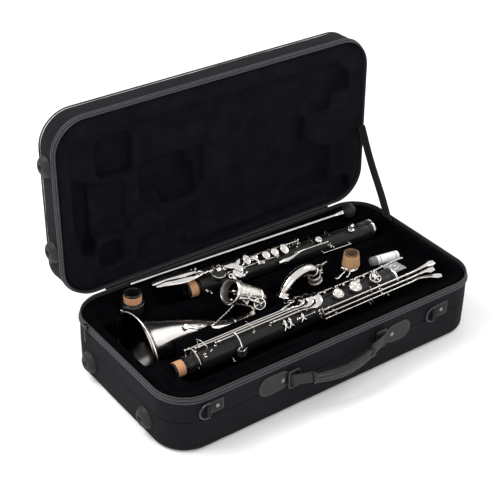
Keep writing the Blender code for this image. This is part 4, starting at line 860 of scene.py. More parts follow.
def make_lid():
    levels = quarter(0.0, LID_DEPTH, 0.0095, -1)
    levels += rows([(0.0, LID_DEPTH - 0.0100), (0.0004, 0.030), (0.0, 0.0116)], 5)
    levels += [(-0.0015, 0.0107), (-0.0044, 0.0107), (-0.0048, 0.0112),
               (-0.0048, LID_DEPTH - 0.0080), (-0.0140, LID_DEPTH - 0.0052)]
    centre = Matrix.Translation((0, -WIDTH / 2, 0))
    shell = Build(FABRIC)
    shell.add(round_case(levels, 0.006), 0, centre)
    shell.make("lid_cover", "lid", "fabric", place=HINGE, wobble=0.00028, wobble_scale=17)

    pocket = Build(FABRIC, PIPING_GREY, ZIP_TAPE, THREAD)
    pocket.add(block((0.396, 0.246, 0.0118), 0.0045, 4, cuts=3), 0,
               Matrix.Translation((0.0603, -0.1707, LID_DEPTH + 0.0043)))
    corners = [(0.0603 + sx * 0.1945, -0.1707 + sy * 0.1195, LID_DEPTH + 0.0100)
               for sx, sy in ((-1, -1), (1, -1), (1, 1), (-1, 1))]
    ring = []
    for i, corner in enumerate(corners):
        here, before, after = (Vector(corners[k % 4]) for k in (i, i - 1, i + 1))
        for t in (0, 0.5, 1):
            a = here + (before - here).normalized() * 0.010
            b = here + (after - here).normalized() * 0.010
            ring.append(a * (1 - t) ** 2 + here * 2 * t * (1 - t) + b * t * t)
    pocket.add(sweep(ring, 0.0012, up=(0, 0, 1), sides=8, closed=True), 1)
    pocket.add(block((0.340, 0.0060, 0.0014), 0.0005, 2), 2,
               Matrix.Translation((0.0603, -0.2700, LID_DEPTH + 0.0102)))
    teeth = [Vector((-0.108 + 0.0012 * i, -0.2700, LID_DEPTH + 0.0110)) for i in range(280)]
    pocket.add(sweep(teeth, [0.0011 if i % 2 else 0.0007 for i in range(280)], up=(0, 0, 1),
                     thin=0.0006, sides=6), 2)
    for y in (-0.2662, -0.2738):
        stitches(pocket, [(-0.108, y, LID_DEPTH + 0.0103), (0.229, y, LID_DEPTH + 0.0103)],
                 (0, 0, 1), 3, 0.0030, 0.0014, 0.0004)
    pocket.make("lid_pocket", "lid", "fabric", ["lid_shell"], place=HINGE)

    zip_half = Build(ZIP_TAPE, ZIP_COIL, THREAD)
    zip_half.add(round_case([(0.0002, 0.0104), (0.0003, 0.0066), (-0.0004, 0.0035),
                             (-0.0012, 0.0012), (-0.0022, 0.0007), (-0.0030, 0.0012),
                             (-0.0040, 0.0040), (-0.0044, 0.0104)], 0.006, wrap=True), 0, centre)
    zip_half.add(along_rim(-0.0018, 0.0014, 0.00110, 0.0011, 6, 0.22), 1, centre)
    zip_half.add(along_rim(0.0003, 0.0060, 0.0005, 0.006, 6), 2, centre)
    zip_half.make("lid_zip", "lid", "zip", ["lid_zip_band"], place=HINGE, sharp=60)
    piping = Build(PIPING_GREY)
    piping.add(along_rim(0.0006, 0.0096, 0.0017, 0.005, 10), 0, centre)
    piping.add(along_rim(-0.0010, LID_DEPTH - 0.0016, 0.0015, 0.005, 10), 0, centre)
    piping.make("lid_piping", "lid", "leather", place=HINGE, sharp=80)

    lining("lid_lining", "lid", lid_height, 0.0050, LID_DEPTH - 0.0062, LID_PLUSH, "lid_foam",
           HINGE @ centre)
    make_foot("lid_bumper_back", "lid", "lid_foot_back", -0.090, 0.030, HINGE)
    make_foot("lid_bumper_front", "lid", "lid_foot_front", -0.253, 0.030, HINGE)


def make_fittings():
    make_foot("base_bumper_back", "case", "base_foot_back", 0.092, 0.035)
    make_foot("base_bumper_front", "case", "base_foot_front", -0.083, 0.035)
    face = -WIDTH / 2
    upright = Matrix.Rotation(math.radians(90), 4, "X")
    for name, node, (x, z), (w, h), rivet, loop_x in (
            ("handle_patch_left", "patch_left", (-0.133, 0.072), (0.070, 0.040), 0.014, -0.0995),
            ("handle_patch_right", "patch_right", (0.131, 0.066), (0.062, 0.040), -0.012, 0.0915)):
        toward = math.copysign(1, loop_x - x)
        patch = Build(LEATHER, LEATHER_EDGE, THREAD, RIVET)
        outline = []
        for i in range(13):
            a = math.radians(90 + 180 * i / 12)
            outline.append((-toward * (w / 2 - h / 2) - abs(math.cos(a)) * h / 2 * toward,
                            h / 2 * math.sin(a)))
        outline += [(toward * w * 0.22, -h * 0.47), (toward * w * 0.42, -h * 0.30),
                    (toward * w * 0.50, -h * 0.27), (toward * w * 0.50, h * 0.27),
                    (toward * w * 0.42, h * 0.30), (toward * w * 0.22, h * 0.47)]
        patch.add(plate(outline, 0.0022, 0.0008, 0.0007), 0,
                  Matrix.Translation((x, face - 0.0002, z)) @ upright)
        inset = [Vector((x + px * 0.90, face - 0.0026, z + pz * 0.88)) for px, pz in outline]
        stitches(patch, inset + [inset[0]], (0, -1, 0), 2, 0.0026, 0.0010, 0.0004, 0.0003)
        patch.add(lathe([(0, 0.0020), (0.0018, 0.0019), (0.0030, 0.0013), (0.0031, 0.0006),
                         (0.0046, 0.0004), (0.0048, -0.0004), (0, -0.0006)], 28, 0.0002), 3,
                  at((x + rivet, face - 0.0027, z), (0, -1, 0)))
        patch.make(name, "case", "leather", [node])

    grip = Build(LEATHER, LEATHER_EDGE, THREAD)
    hang = face - 0.0062
    route = smooth([(-0.0900, face - 0.0120, 0.0715), (-0.0780, face - 0.0170, 0.0680),
                    (-0.0600, face - 0.0205, 0.0630), (-0.0300, face - 0.0245, 0.0590),
                    (-0.0030, face - 0.0260, 0.0575), (0.0240, face - 0.0245, 0.0590),
                    (0.0530, face - 0.0205, 0.0630), (0.0710, face - 0.0170, 0.0680),
                    (0.0820, face - 0.0120, 0.0715)], 6)
    count = len(route)
    grip.add(sweep(route, spread([0.0085, 0.0080, 0.0092, 0.0105, 0.0108, 0.0105, 0.0092,
                                  0.0080, 0.0085], count), up=(0, -1, 0),
                   thin=spread([0.0020, 0.0026, 0.0042, 0.0050, 0.0052, 0.0050, 0.0042, 0.0026,
                                0.0020], count), square=0.62, sides=24), 0)
    inner = route[9:-9]
    ridge = spread([0.0045, 0.0050, 0.0052, 0.0050, 0.0045], len(inner))
    for lift in (-0.0018, 0.0018):
        seam = [p + Vector((0, -r * 0.985, lift)) for p, r in zip(inner, ridge)]
        grip.add(sweep(seam, 0.0004, sides=6), 1)
    for lift, depth in ((0.0, 1.0), (-0.0062, 0.74), (0.0062, 0.74)):
        stitches(grip, [p + Vector((0, -r * depth - 0.0002, lift)) for p, r in zip(inner, ridge)],
                 (0, -1, 0), 2, 0.0030, 0.0016, 0.0006, 0.0004)
    for sign, end, ring_x in ((-1, route[0], -0.0990), (1, route[-1], 0.0910)):
        fold = [end + Vector((-sign * 0.020, -0.0062, -0.0035)),
                end + Vector((-sign * 0.008, -0.0046, -0.0018)),
                Vector((ring_x + sign * 0.0005, hang - 0.0052, 0.0705)),
                Vector((ring_x + sign * 0.0040, hang - 0.0020, 0.0703)),
                Vector((ring_x + sign * 0.0022, hang + 0.0016, 0.0703)),
                Vector((ring_x - sign * 0.0040, hang + 0.0012, 0.0703))]
        fold = smooth(fold, 5)
        grip.add(sweep(fold, 0.0105, up=(0, -1, 0.05), thin=0.0012, square=0.4, sides=18), 0)
        band = route[10] if sign < 0 else route[-11]
        ring = []
        for i in range(20):
            a = 2 * math.pi * i / 20
            ring.append(band + Vector((0, 0.0058 * math.cos(a), 0.0112 * math.sin(a))))
        grip.add(sweep(ring, 0.0036, up=[(p - band) for p in ring], thin=0.0008, square=0.6,
                       closed=True, sides=12), 0)
        grip.add(sweep([p + Vector((sign * 0.0030, 0, 0)) for p in ring], 0.0005,
                       up=[(p - band) for p in ring], closed=True, sides=6), 1)
    grip.make("handle_strap", "handle", "leather", ["handle_grip"])

    for name, node, x in (("handle_buckle_left", "handle_loop_left", -0.099),
                          ("handle_buckle_right", "handle_loop_right", 0.091)):
        buckle = Build(BUCKLE)
        corners = []
        for sx, sz, first in ((1, 1, 0), (-1, 1, 90), (-1, -1, 180), (1, -1, 270)):
            for i in range(5):
                a = math.radians(first + 90 * i / 4)
                corners.append((x + sx * 0.0070 + 0.0030 * math.cos(a), hang,
                                0.0700 + sz * 0.0135 + 0.0030 * math.sin(a)))
        buckle.add(sweep(corners, 0.0023, up=(0, 1, 0), thin=0.0019, closed=True, sides=14, square=0.8))
        buckle.make(name, "handle", "dark_steel", [node])

    for name, x, z in (("d_ring_left", -0.266, 0.081), ("d_ring_right", 0.216, 0.072)):
        ring = Build(GUNMETAL)
        front = face - 0.0050
        points = [(x - 0.001, front, z + 0.0125), (x - 0.001, front, z),
                  (x - 0.001, front, z - 0.0125)]
        for i in range(0, 13):
            a = math.radians(-78 - 204 * i / 12)
            points.append((x - 0.0035 + 0.0158 * math.cos(a) * (1 if i else 1), front,
                           z + 0.0145 * math.sin(a)))
        ring.add(sweep(points, 0.0016, up=(0, 1, 0), closed=True, sides=14))
        ring.make("ring_" + name[-5:].strip("_"), name, "dark_steel", [name], sharp=70)

    for name, x, out in (("zip_slider_left", -LENGTH / 2, -1), ("zip_slider_right", LENGTH / 2, 1)):
        slider = Build(GUNMETAL, RUBBER)
        y, z = 0.098, PIPING + 0.0068
        slider.add(block((0.0050, 0.0105, 0.0062), 0.0012, 3), 0,
                   Matrix.Translation((x + out * 0.0030, y, z)))
        slider.add(sweep([(x + out * 0.0052, y - 0.0034, z), (x + out * 0.0064, y, z),
                          (x + out * 0.0052, y + 0.0034, z)], 0.0007, sides=8), 0)
        slider.add(sweep([(x + out * 0.0058, y - 0.0005, z - 0.0005),
                          (x + out * 0.0056, y - 0.0005, z - 0.0080),
                          (x + out * 0.0052, y - 0.0005, z - 0.0290)],
                         [0.0016, 0.0026, 0.0030], up=(1, 0, 0), thin=0.0007, square=0.6), 1)
        slider.make("slider_" + name[11:], name, "dark_steel", [name])


make_base()
make_lid()
make_fittings()


# ---------------------------------------------------------------- lower joint
def joint_tube(build, length, radius, tenon, cork_room, neck_end, neck, ring, socket, beads=()):
    """A joint's tube from its socket to its tenon tip and back along the bore."""
    outer = [(ring, length), (ring, length - 0.0135), (radius + 0.0009, length - 0.0137),
             (radius + 0.0009, length - 0.034), (radius, length - 0.0355)]
    for s in beads:
        outer += [(radius, s + 0.0014), (radius + 0.0007, s + 0.0009),
                  (radius + 0.0007, s - 0.0009), (radius, s - 0.0014)]
    outer += [(radius, 0.0500), (radius - 0.001, 0.0485), (neck, neck_end), (neck, 0.0245),
              (tenon, 0.0240), (tenon, 0.0200), (cork_room, 0.0198), (cork_room, 0.0042),
              (tenon, 0.0040), (tenon, 0.0)]
    inner = [(0.0112, 0.0), (0.0112, length - 0.0235), (socket, length - 0.0230),
             (socket, length)]
    along = Matrix.Rotation(math.radians(90), 4, "Y")
    build.add(lathe(outer + inner, 96, 0.0006, 3), 0, along)
    return along


def cork_sleeve(name, body, node, place, radius, inner, low, high, finish_used=None, flare=0.0):
    """A cork sleeve with rounded edges and a slightly worn, uneven surface."""
    sleeve = Build(finish_used or CORK)
    profile = [(radius, high), (radius + 0.00015 + flare, (low + high) / 2),
               (radius + flare * 2, low), (inner, low), (inner, high)]
    sleeve.add(lathe(rows(profile[:3], 5) + profile[3:], 72, 0.0005, 3))
    sleeve.make(name, body, "cork", [node], place=place, wobble=0.00010, wobble_scale=220)


def socket_ring(name, body, node, place, radius, inner, length):
    ring = Build(NICKEL, RESIN)
    along = Matrix.Rotation(math.radians(90), 4, "Y")
    ring.add(lathe([(inner, length + 0.0004), (radius - 0.0002, length + 0.0004),
                    (radius + 0.0004, length - 0.0006), (radius + 0.0004, length - 0.0040),
                    (radius - 0.0002, length - 0.0046), (inner, length - 0.0046)],
                   96, 0.0003, 3), 0, along)
    ring.add(lathe([(inner, length - 0.0040), (radius - 0.0001, length - 0.0040),
                    (radius - 0.0001, length - 0.0125), (radius - 0.0006, length - 0.0130),
                    (inner, length - 0.0130)], 96, 0.0003, 3), 1, along)
    ring.make(name, body, "nickel", [node], place=place)


def make_lower_joint():
    radius, length = 0.0205, 0.475
    tube = Build(RESIN)
    joint_tube(tube, length, radius, 0.0133, 0.0118, 0.0465, 0.0165, 0.0205, 0.0150)
    for s, r in ((0.341, 0.0096), (0.380, 0.0110), (0.426, 0.0100)):
        tube.add(lathe([(r, 0.0006), (r - 0.0010, 0.0012), (r - 0.0022, 0.0006),
                        (r - 0.0022, -0.004), (r, -0.004)], 40, 0.0003), 0,
                 at(around(s, 19, radius - 0.0004), outward(19)))
    tube.make("lower_tube", "lower_joint", "resin", ["lower_body"], place=LOWER)
    turned = Matrix.Rotation(math.radians(90), 4, "Y")
    cork_sleeve("lower_cork", "lower_joint", "lower_tenon_cork", LOWER @ turned, 0.0136, 0.0121,
                0.0044, 0.0196)
    socket_ring("lower_ring", "lower_joint", "lower_socket_ring", LOWER, 0.0220, 0.0208, length)

    fittings = Build(NICKEL, STEEL)
    rods = ((-16, 0.033, 0.236), (-3, 0.050, 0.246), (10, 0.086, 0.256), (23, 0.196, 0.268))
    for angle, first, last in rods:
        surface = 0.0165 if first < 0.050 else radius
        knob_post(fittings, first - 0.0030, angle, surface, 0.0265)
        knob_post(fittings, last + 0.0030, angle, radius, 0.0265, 0.0022)
    for s in (0.3130, 0.3560, 0.4020, 0.4462):
        knob_post(fittings, s, -27, radius, 0.0270)
    for angle in (54, 70, 87):
        knob_post(fittings, 0.2942, angle, radius, 0.0300, 0.0026)
        knob_post(fittings, 0.4300, angle, radius, 0.0262, 0.0024)
        fittings.add(sweep([around(0.4300, angle, 0.0262), around(0.4300, angle, 0.0315)],
                           0.0010, sides=10), 0)
    for s in (0.1090, 0.4120, 0.4490):
        knob_post(fittings, s, 118, radius, 0.0260)
    strap_guard(fittings, 0.0395, -12, 92, 0.0258, 0.0250, 0.0165, 0.0034)
    strap_guard(fittings, 0.0620, -42, 18, 0.0322, 0.0302, radius, 0.0016)
    strap_guard(fittings, 0.1560, -24, 20, 0.0304, 0.0304, radius, 0.0014)
    strap_guard(fittings, 0.4010, 44, 106, 0.0345, 0.0345, radius, 0.0013)
    fittings.add(sweep([around(0.2915, a, 0.0338) for a in range(46, 98, 4)], 0.0022,
                       up=(1, 0, 0), thin=0.0011), 0)
    for s, angle in ((0.0560, 34), (0.0560, 46), (0.0700, 30), (0.1580, 26), (0.2200, 52)):
        knob_post(fittings, s, angle, radius, 0.0240, 0.0019)
    for s, a, long in ((0.2180, 40, 1.0), (0.2290, 40, 0.9), (0.2560, 44, 0.6)):
        fork = around(s, a + 18 * long, 0.0246)
        blade(fittings, [around(s + 0.001, a - 12, 0.0236), around(s, a, 0.0250), fork],
              [0.0016, 0.0022, 0.0019], 0.0011, outward(a))
        for side in (-1, 1):
            blade(fittings, [fork, around(s + side * 0.0040, a + 34 * long, 0.0250),
                             around(s + side * 0.0062, a + 50 * long, 0.0238)],
                  [0.0016, 0.0019, 0.0011], 0.0010, outward(a + 30))
        knob_post(fittings, s, a + 2, radius, 0.0240, 0.0024)
    rod(fittings, around(0.2480, 50, 0.0240), around(0.2800, 50, 0.0240), 0.0012)
    for s in (0.2480, 0.2800):
        knob_post(fittings, s, 50, radius, 0.0240, 0.0030)
    fittings.make("lower_posts", "lower_joint", "nickel", place=LOWER)

    touches = ((-18, 0.250, 0.0345), (-9, 0.264, 0.0360), (2, 0.278, 0.0370), (13, 0.292, 0.0375))
    for index, ((angle, first, last), (side, s, height)) in enumerate(zip(rods, touches)):
        key = Build(NICKEL, PAD)
        rod(key, around(first, angle, 0.0265), around(last, angle, 0.0265))
        for s_ring in (first + 0.004, last - 0.006):
            key.add(lathe([(0.0026, 0.0016), (0.0026, -0.0016), (0.0010, -0.0016),
                           (0.0010, 0.0016)], 18, 0.0003), 0,
                    at(around(s_ring, angle, 0.0265), (1, 0, 0)))
        if index == 0:
            points = [around(last - 0.010, angle, 0.0268), around(last - 0.002, angle, 0.0300),
                      around(s - 0.006, side + 4, height - 0.0020), around(s, side, height)]
            blade(key, points, [0.0015, 0.0020, 0.0026, 0.0030], 0.0012, outward(side))
            touch(key, around(s + 0.001, side, height + 0.0004), outward(side - 6), 0.0066, 0.0024,
                  1.35, 80)
        else:
            points = [around(last - 0.008, angle, 0.0270), around(last + 0.001, angle + 5, 0.0305),
                      around(s - 0.010, side + 21, height - 0.0010),
                      around(s - 0.0015, side + 15, height + 0.0002),
                      around(s + 0.0020, side + 4, height + 0.0006),
                      around(s + 0.0010, side - 8, height + 0.0002),
                      around(s - 0.0020, side - 17, height - 0.0010)]
            up = [outward(side + 12)] * 31
            blade(key, points, [0.0015, 0.0022, 0.0036, 0.0056, 0.0068, 0.0072, 0.0060],
                  [0.0013, 0.0013, 0.0013, 0.0014, 0.0015, 0.0014, 0.0012], outward(side + 4),
                  square=0.8)
        if index == 1:
            arm = [around(0.1215, a, r) for a, r in
                   ((-3, 0.0270), (2, 0.0301), (18, 0.0302), (40, 0.0298), (60, 0.0294),
                    (80, 0.0298))]
            blade(key, arm, [0.0012, 0.0012, 0.0011, 0.0011, 0.0012, 0.0010], 0.0009,
                  [outward(a) for a in np.interp(np.linspace(0, 5, 26), range(6),
                                                 (-3, 2, 18, 40, 60, 80))])
            place = at(around(0.1215, 80, 0.0262), outward(80))
            key.add(lathe([(0.0104, 0.0024), (0.0104, -0.0010), (0.0096, -0.0010),
                           (0.0096, 0.0024)], 44, 0.0003), 0, place)
            key.add(lathe([(0, 0.0012), (0.0097, 0.0012), (0.0099, -0.0008), (0.0090, -0.0026),
                           (0, -0.0026)], 40, 0.0003), 1, place)
            for turn in (25, 145, 265):
                a = math.radians(turn)
                key.add(sweep([place @ Vector((0, 0, 0.0024)),
                               place @ Vector((0.0098 * math.cos(a), 0.0098 * math.sin(a), 0.0020))],
                              [0.0009, 0.0007], sides=8), 0)
        key.make(f"low_pinky_{index + 1}", f"pinky_key_{index + 1}", "nickel",
                 [f"pinky_key_{index + 1}"], place=LOWER)

    stack = ((0.3160, 0.3530, 0.3410, 0.0107), (0.3590, 0.3990, 0.3800, 0.0122),
             (0.4050, 0.4430, 0.4260, 0.0112))
    for index, (first, last, s, cup_radius) in enumerate(stack):
        key = Build(NICKEL, PAD)
        rod(key, around(first, -27, 0.0270), around(last, -27, 0.0270), 0.0019)
        arm = [around(s, -27, 0.0270), around(s, -10, 0.0304), around(s, 6, 0.0312),
               around(s, 19, 0.0298)]
        blade(key, arm, [0.0024, 0.0020, 0.0026, 0.0040], [0.0016, 0.0012, 0.0010, 0.0007],
              [outward(a) for a in np.interp(np.linspace(0, 3, 16), range(4), (-27, -10, 6, 19))])
        pad_cup(key, around(s, 19, 0.0268), outward(19), cup_radius, 0.0054,
                spokes=5 if index == 2 else 0)
        if index < 2:
            key.add(lathe([(cup_radius * 0.62, 0.0), (cup_radius * 0.66, 0.0006),
                           (cup_radius * 0.78, 0.0007), (cup_radius * 0.84, 0.0),
                           (cup_radius * 0.84, -0.0006), (cup_radius * 0.62, -0.0006)], 40),
                    0, at(around(s, 19, 0.0296), outward(19)))
        for s_foot in (first + 0.006, last - 0.007):
            tip = around(s_foot, -8, 0.0276)
            blade(key, [around(s_foot, -27, 0.0270), around(s_foot, -17, 0.0292), tip],
                  [0.0017, 0.0015, 0.0022], 0.0010, outward(-14))
            key.add(lathe([(0, 0.0014), (0.0016, 0.0012), (0.0018, 0.0), (0.0012, -0.0018),
                           (0, -0.0018)], 16, 0.0002), 0, at(tip, outward(-8)))
        if index == 1:
            touch(key, around(0.3905, 4, 0.0300), outward(4), 0.0040, 0.0018, 1.5, 20)
        if index == 2:
            bridge = [around(0.4410, -27, 0.0270), around(0.4560, -18, 0.0300),
                      around(0.4750, -10, 0.0340), around(0.4900, -5, 0.0362),
                      around(0.4990, -3, 0.0362)]
            blade(key, bridge, [0.0018, 0.0018, 0.0020, 0.0022, 0.0020],
                  [0.0015, 0.0014, 0.0012, 0.0011, 0.0012], (0, 0, 1))
            key.add(lathe([(0, 0.0022), (0.0022, 0.0020), (0.0024, 0.0006), (0.0016, 0.0),
                           (0, 0.0)], 18, 0.0002), 0, at(around(0.4560, -18, 0.0308),
                                                          outward(-18)))
        key.make(f"low_stack_{index + 1}", f"stack_key_{index + 1}", "nickel",
                 [f"stack_key_{index + 1}"], place=LOWER)

    spatulas = ((54, (0.547, -0.0250, 0.0210), 11), (70, (0.5375, -0.0345, 0.0160), -10),
                (87, (0.548, -0.0450, 0.0050), -31))
    for index, (angle, tip, turn) in enumerate(spatulas):
        key = Build(NICKEL, PAD)
        tip = Vector(tip)
        rod(key, around(0.2970, angle, 0.0300), around(0.4985, angle, 0.0300), 0.0018)
        end = around(0.4980, angle, 0.0300)
        rise = end + Vector((0.018, 0, 0.001))
        heading = (tip - rise).normalized()
        path = [end - Vector((0.012, 0, 0)), end, rise, rise.lerp(tip, 0.55) + Vector((0, 0, 0.0010)),
                tip - heading * 0.0015, tip + heading * 0.0062]
        blade(key, path, [0.0019, 0.0019, 0.0020, 0.0030, 0.0064, 0.0046],
              [0.0018, 0.0018, 0.0015, 0.0013, 0.0016, 0.0011], (0.20, -0.25, 1.0), steps=6,
              sides=20, square=0.85)
        key.add(sweep([tip - heading * 0.010 + Vector((0, 0, -0.0012)),
                       tip - heading * 0.0040 + Vector((0, 0, -0.0024)),
                       tip + heading * 0.0020 + Vector((0, 0, -0.0016))],
                      [0.0012, 0.0016, 0.0010], sides=10), 0)
        foot = around(0.3100 + 0.007 * index, angle, 0.0258)
        key.add(lathe([(0, 0.0030), (0.0022, 0.0028), (0.0026, 0.0010), (0.0020, -0.0014),
                       (0.0018, -0.0030), (0, -0.0030)], 16, 0.0003), 0, at(foot, outward(angle)))
        for s in (0.3050, 0.4880):
            key.add(lathe([(0.0026, 0.0018), (0.0026, -0.0018), (0.0010, -0.0018),
                           (0.0010, 0.0018)], 18, 0.0003), 0, at(around(s, angle, 0.0300),
                                                                  (1, 0, 0)))
        key.make(f"low_lever_{index + 1}", f"left_lever_{index + 1}", "nickel",
                 [f"left_lever_{index + 1}"], place=LOWER)


# ---------------------------------------------------------------- upper joint
def make_upper_joint():
    radius, length = 0.0188, 0.409
    tube = Build(RESIN)
    joint_tube(tube, length, radius, 0.0142, 0.0128, 0.0270, 0.0185, 0.0188, 0.0150)
    for s, angle, r in ((0.061, 25, 0.0112), (0.280, 20, 0.0056), (0.356, 18, 0.0062)):
        tube.add(lathe([(r, 0.0014), (r - 0.0008, 0.0024), (r - 0.0018, 0.0014),
                        (r - 0.0018, -0.004), (r, -0.004)], 36, 0.0003), 0,
                 at(around(s, angle, radius - 0.0008), outward(angle)))
    tube.make("upper_tube", "upper_joint", "resin", ["upper_body"], place=UPPER)
    turned = Matrix.Rotation(math.radians(90), 4, "Y")
    cork_sleeve("upper_cork", "upper_joint", "upper_tenon_cork", UPPER @ turned, 0.0146, 0.0131,
                0.0044, 0.0196)
    socket_ring("upper_ring", "upper_joint", "upper_socket_ring", UPPER, 0.0203, 0.0191, length)

    fittings = Build(NICKEL, STEEL)
    for s, angle, distance, size in (
            (0.0310, 84, 0.0230, 0.0028), (0.0400, 104, 0.0230, 0.0028),
            (0.0260, -12, 0.0250, 0.0022), (0.0520, -12, 0.0250, 0.0024),
            (0.0280, -32, 0.0250, 0.0022), (0.0765, -32, 0.0250, 0.0022),
            (0.1490, -12, 0.0250, 0.0022), (0.2230, -12, 0.0250, 0.0024),
            (0.2480, -30, 0.0250, 0.0022), (0.2260, 44, 0.0250, 0.0022),
            (0.2950, 44, 0.0250, 0.0024), (0.2830, 88, 0.0240, 0.0022),
            (0.3440, 88, 0.0240, 0.0022), (0.2980, 62, 0.0250, 0.0020),
            (0.3050, 74, 0.0250, 0.0020), (0.2360, 8, 0.0250, 0.0020)):
        knob_post(fittings, s, angle, radius, distance, size)
    rod(fittings, around(0.2830, 88, 0.0240), around(0.3440, 88, 0.0240), 0.0012)
    for a in (54, 62, 70):
        fittings.add(sweep([around(0.2985, a, 0.0192), around(0.2985, a, 0.0262)], 0.0013), 0)
    for angle, first, last in ((-24, 0.0800, 0.2460), (-40, 0.0820, 0.2380), (30, 0.0800, 0.1900)):
        distance = 0.0236 if angle < 0 else 0.0218
        rod(fittings, around(first, angle, distance), around(last, angle, distance), 0.0018)
        for k in range(4):
            knob_post(fittings, first + 0.001 + (last - first - 0.002) * k / 3, angle, radius,
                      distance, 0.0020)
    strap_guard(fittings, 0.2640, -6, 32, 0.0262, 0.0262, radius, 0.0014)
    strap_guard(fittings, 0.3060, -24, 16, 0.0240, 0.0240, radius, 0.0013)
    strap_guard(fittings, 0.2400, -28, 12, 0.0268, 0.0262, radius, 0.0013)
    fittings.make("upper_posts", "upper_joint", "nickel", place=UPPER)

    key = Build(NICKEL, PAD)
    rod(key, around(0.0288, -12, 0.0250), around(0.0490, -12, 0.0250), 0.0021)
    blade(key, [around(0.0400, -12, 0.0270), around(0.0280, -13, 0.0300),
                around(0.0160, -15, 0.0318), around(-0.002, -20, 0.0330),
                around(-0.020, -28, 0.0330), around(-0.040, -36, 0.0322),
                around(-0.056, -42, 0.0300)],
          [0.0018, 0.0024, 0.0052, 0.0076, 0.0080, 0.0072, 0.0030],
          [0.0016, 0.0018, 0.0020, 0.0021, 0.0020, 0.0018, 0.0012], (0.1, -0.34, 1.0), steps=7,
          sides=20)
    blade(key, [around(0.0320, 4, 0.0268), around(0.0160, 10, 0.0284), around(0.0040, 10, 0.0288),
                around(-0.014, 3, 0.0280), around(-0.034, -12, 0.0268), around(-0.053, -24, 0.0250)],
          [0.0018, 0.0036, 0.0056, 0.0062, 0.0056, 0.0026],
          [0.0016, 0.0018, 0.0019, 0.0018, 0.0016, 0.0012], (0.1, -0.50, 1.0), steps=7, sides=20)
    blade(key, [around(0.0340, -16, 0.0262), around(0.0330, 0, 0.0286), around(0.0320, 4, 0.0270)],
          [0.0022, 0.0022, 0.0018], 0.0014, outward(0))
    wire(key, [around(-0.030, -50, 0.0320), around(-0.022, -46, 0.0345), around(-0.012, -40, 0.0355),
               around(0.002, -34, 0.0350), around(0.014, -28, 0.0325)], 0.0013)
    for s, a in ((-0.014, -42), (-0.004, -38), (0.006, -34), (0.022, 2), (0.030, 8), (0.018, -22),
                 (0.026, -20)):
        key.add(lathe([(0, 0.0024), (0.0018, 0.0020), (0.0021, 0.0006), (0.0014, -0.0014),
                       (0, -0.0014)], 16, 0.0002), 0, at(around(s, a, 0.0340), outward(a)))
    key.make("up_pinky_levers", "left_pinky_keys", "nickel", ["left_pinky_keys"], place=UPPER)

    key = Build(NICKEL, PAD)
    rod(key, around(0.0310, -32, 0.0250), around(0.0735, -32, 0.0250), 0.0019)
    blade(key, [around(0.0610, -32, 0.0250), around(0.0610, -14, 0.0306),
                around(0.0610, 6, 0.0314), around(0.0610, 20, 0.0304)],
          [0.0022, 0.0022, 0.0020, 0.0016], [0.0015, 0.0012, 0.0009, 0.0006],
          [outward(a) for a in np.interp(np.linspace(0, 3, 16), range(4), (-32, -14, 4, 14))])
    place = at(around(0.0610, 25, 0.0262), outward(12))
    key.add(lathe([(0.0110, 0.0022), (0.0122, 0.0024), (0.0128, 0.0016), (0.0128, -0.0014),
                   (0.0120, -0.0022), (0.0108, -0.0022)], 48, 0.0002), 0, place)
    key.add(lathe([(0, 0.0021), (0.0108, 0.0019), (0.0112, 0.0012), (0.0112, -0.0020),
                   (0, -0.0020)], 40, 0.0003), 1, place)
    for i in range(40):
        key.add(block((0.0009, 0.0011, 0.0030), 0.0003, 1), 0,
                place @ Matrix.Rotation(math.pi * i / 20, 4, "Z")
                @ Matrix.Translation((0.0129, 0, -0.0001)))
    for s in (0.038, 0.048):
        blade(key, [around(s, -32, 0.0252), around(s, -22, 0.0280), around(s + 0.003, -10, 0.0272)],
              [0.0018, 0.0014, 0.0024], 0.0010, outward(-22))
        touch(key, around(s + 0.003, -4, 0.0280), outward(14), 0.0046, 0.0020, 1.4, 30)
    key.make("up_large_pad", "upper_key_1", "nickel", ["upper_key_1"], place=UPPER)

    key = Build(NICKEL, PAD)
    rod(key, around(0.0550, -12, 0.0250), around(0.1460, -12, 0.0250), 0.0019)
    place = at(around(0.0955, 20, 0.0292), outward(20), 0)
    corner = [(-0.0165, 0.0030), (-0.0150, 0.0075), (-0.0060, 0.0100), (0.0040, 0.0085),
              (0.0105, 0.0125), (0.0135, 0.0095), (0.0095, 0.0010), (0.0100, -0.0060),
              (0.0060, -0.0125), (0.0010, -0.0120), (-0.0040, -0.0040), (-0.0110, -0.0010)]
    outline = smooth([Vector((a, b, 0)) for a, b in corner + corner[:1]], 4)[:-1]
    outline = [p * 1.22 for p in outline]
    outline = [(p.x, p.y) for p in outline]
    key.add(plate(outline, 0.0019, 0.0003, 0.0005), 0, place)
    blade(key, [around(0.0990, -12, 0.0250), around(0.0990, -2, 0.0284),
                around(0.0990, 12, 0.0300)], [0.0024, 0.0024, 0.0036], 0.0012, outward(0))
    loop_centre, loop_turn = around(0.1270, 34, 0.0288), pointing(outward(34))
    loop = []
    for i in range(27):
        a = math.radians(-20 + 175 * i / 26)
        loop.append(loop_centre + loop_turn @ Vector((0.0160 * math.cos(a),
                                                      0.0118 * math.sin(a), 0)))
    key.add(sweep(loop, 0.0017, up=outward(34), thin=0.0011, sides=12), 0)
    target = around(0.1050, 30, 0.0294)
    key.add(sweep([loop[-1], loop[-1].lerp(target, 0.5), target], [0.0018, 0.0016, 0.0018],
                  up=outward(34), thin=0.0011), 0)
    tip = loop[0]
    key.add(sweep([tip, tip + Vector((0.0075, 0, 0.0002))], [0.0017, 0.0014]), 0)
    key.add(lathe([(0.0026, 0.0012), (0.0026, -0.0012), (0.0010, -0.0012), (0.0010, 0.0012)],
                  20, 0.0003), 0, at(tip + Vector((0.0085, 0, 0)), outward(34)))
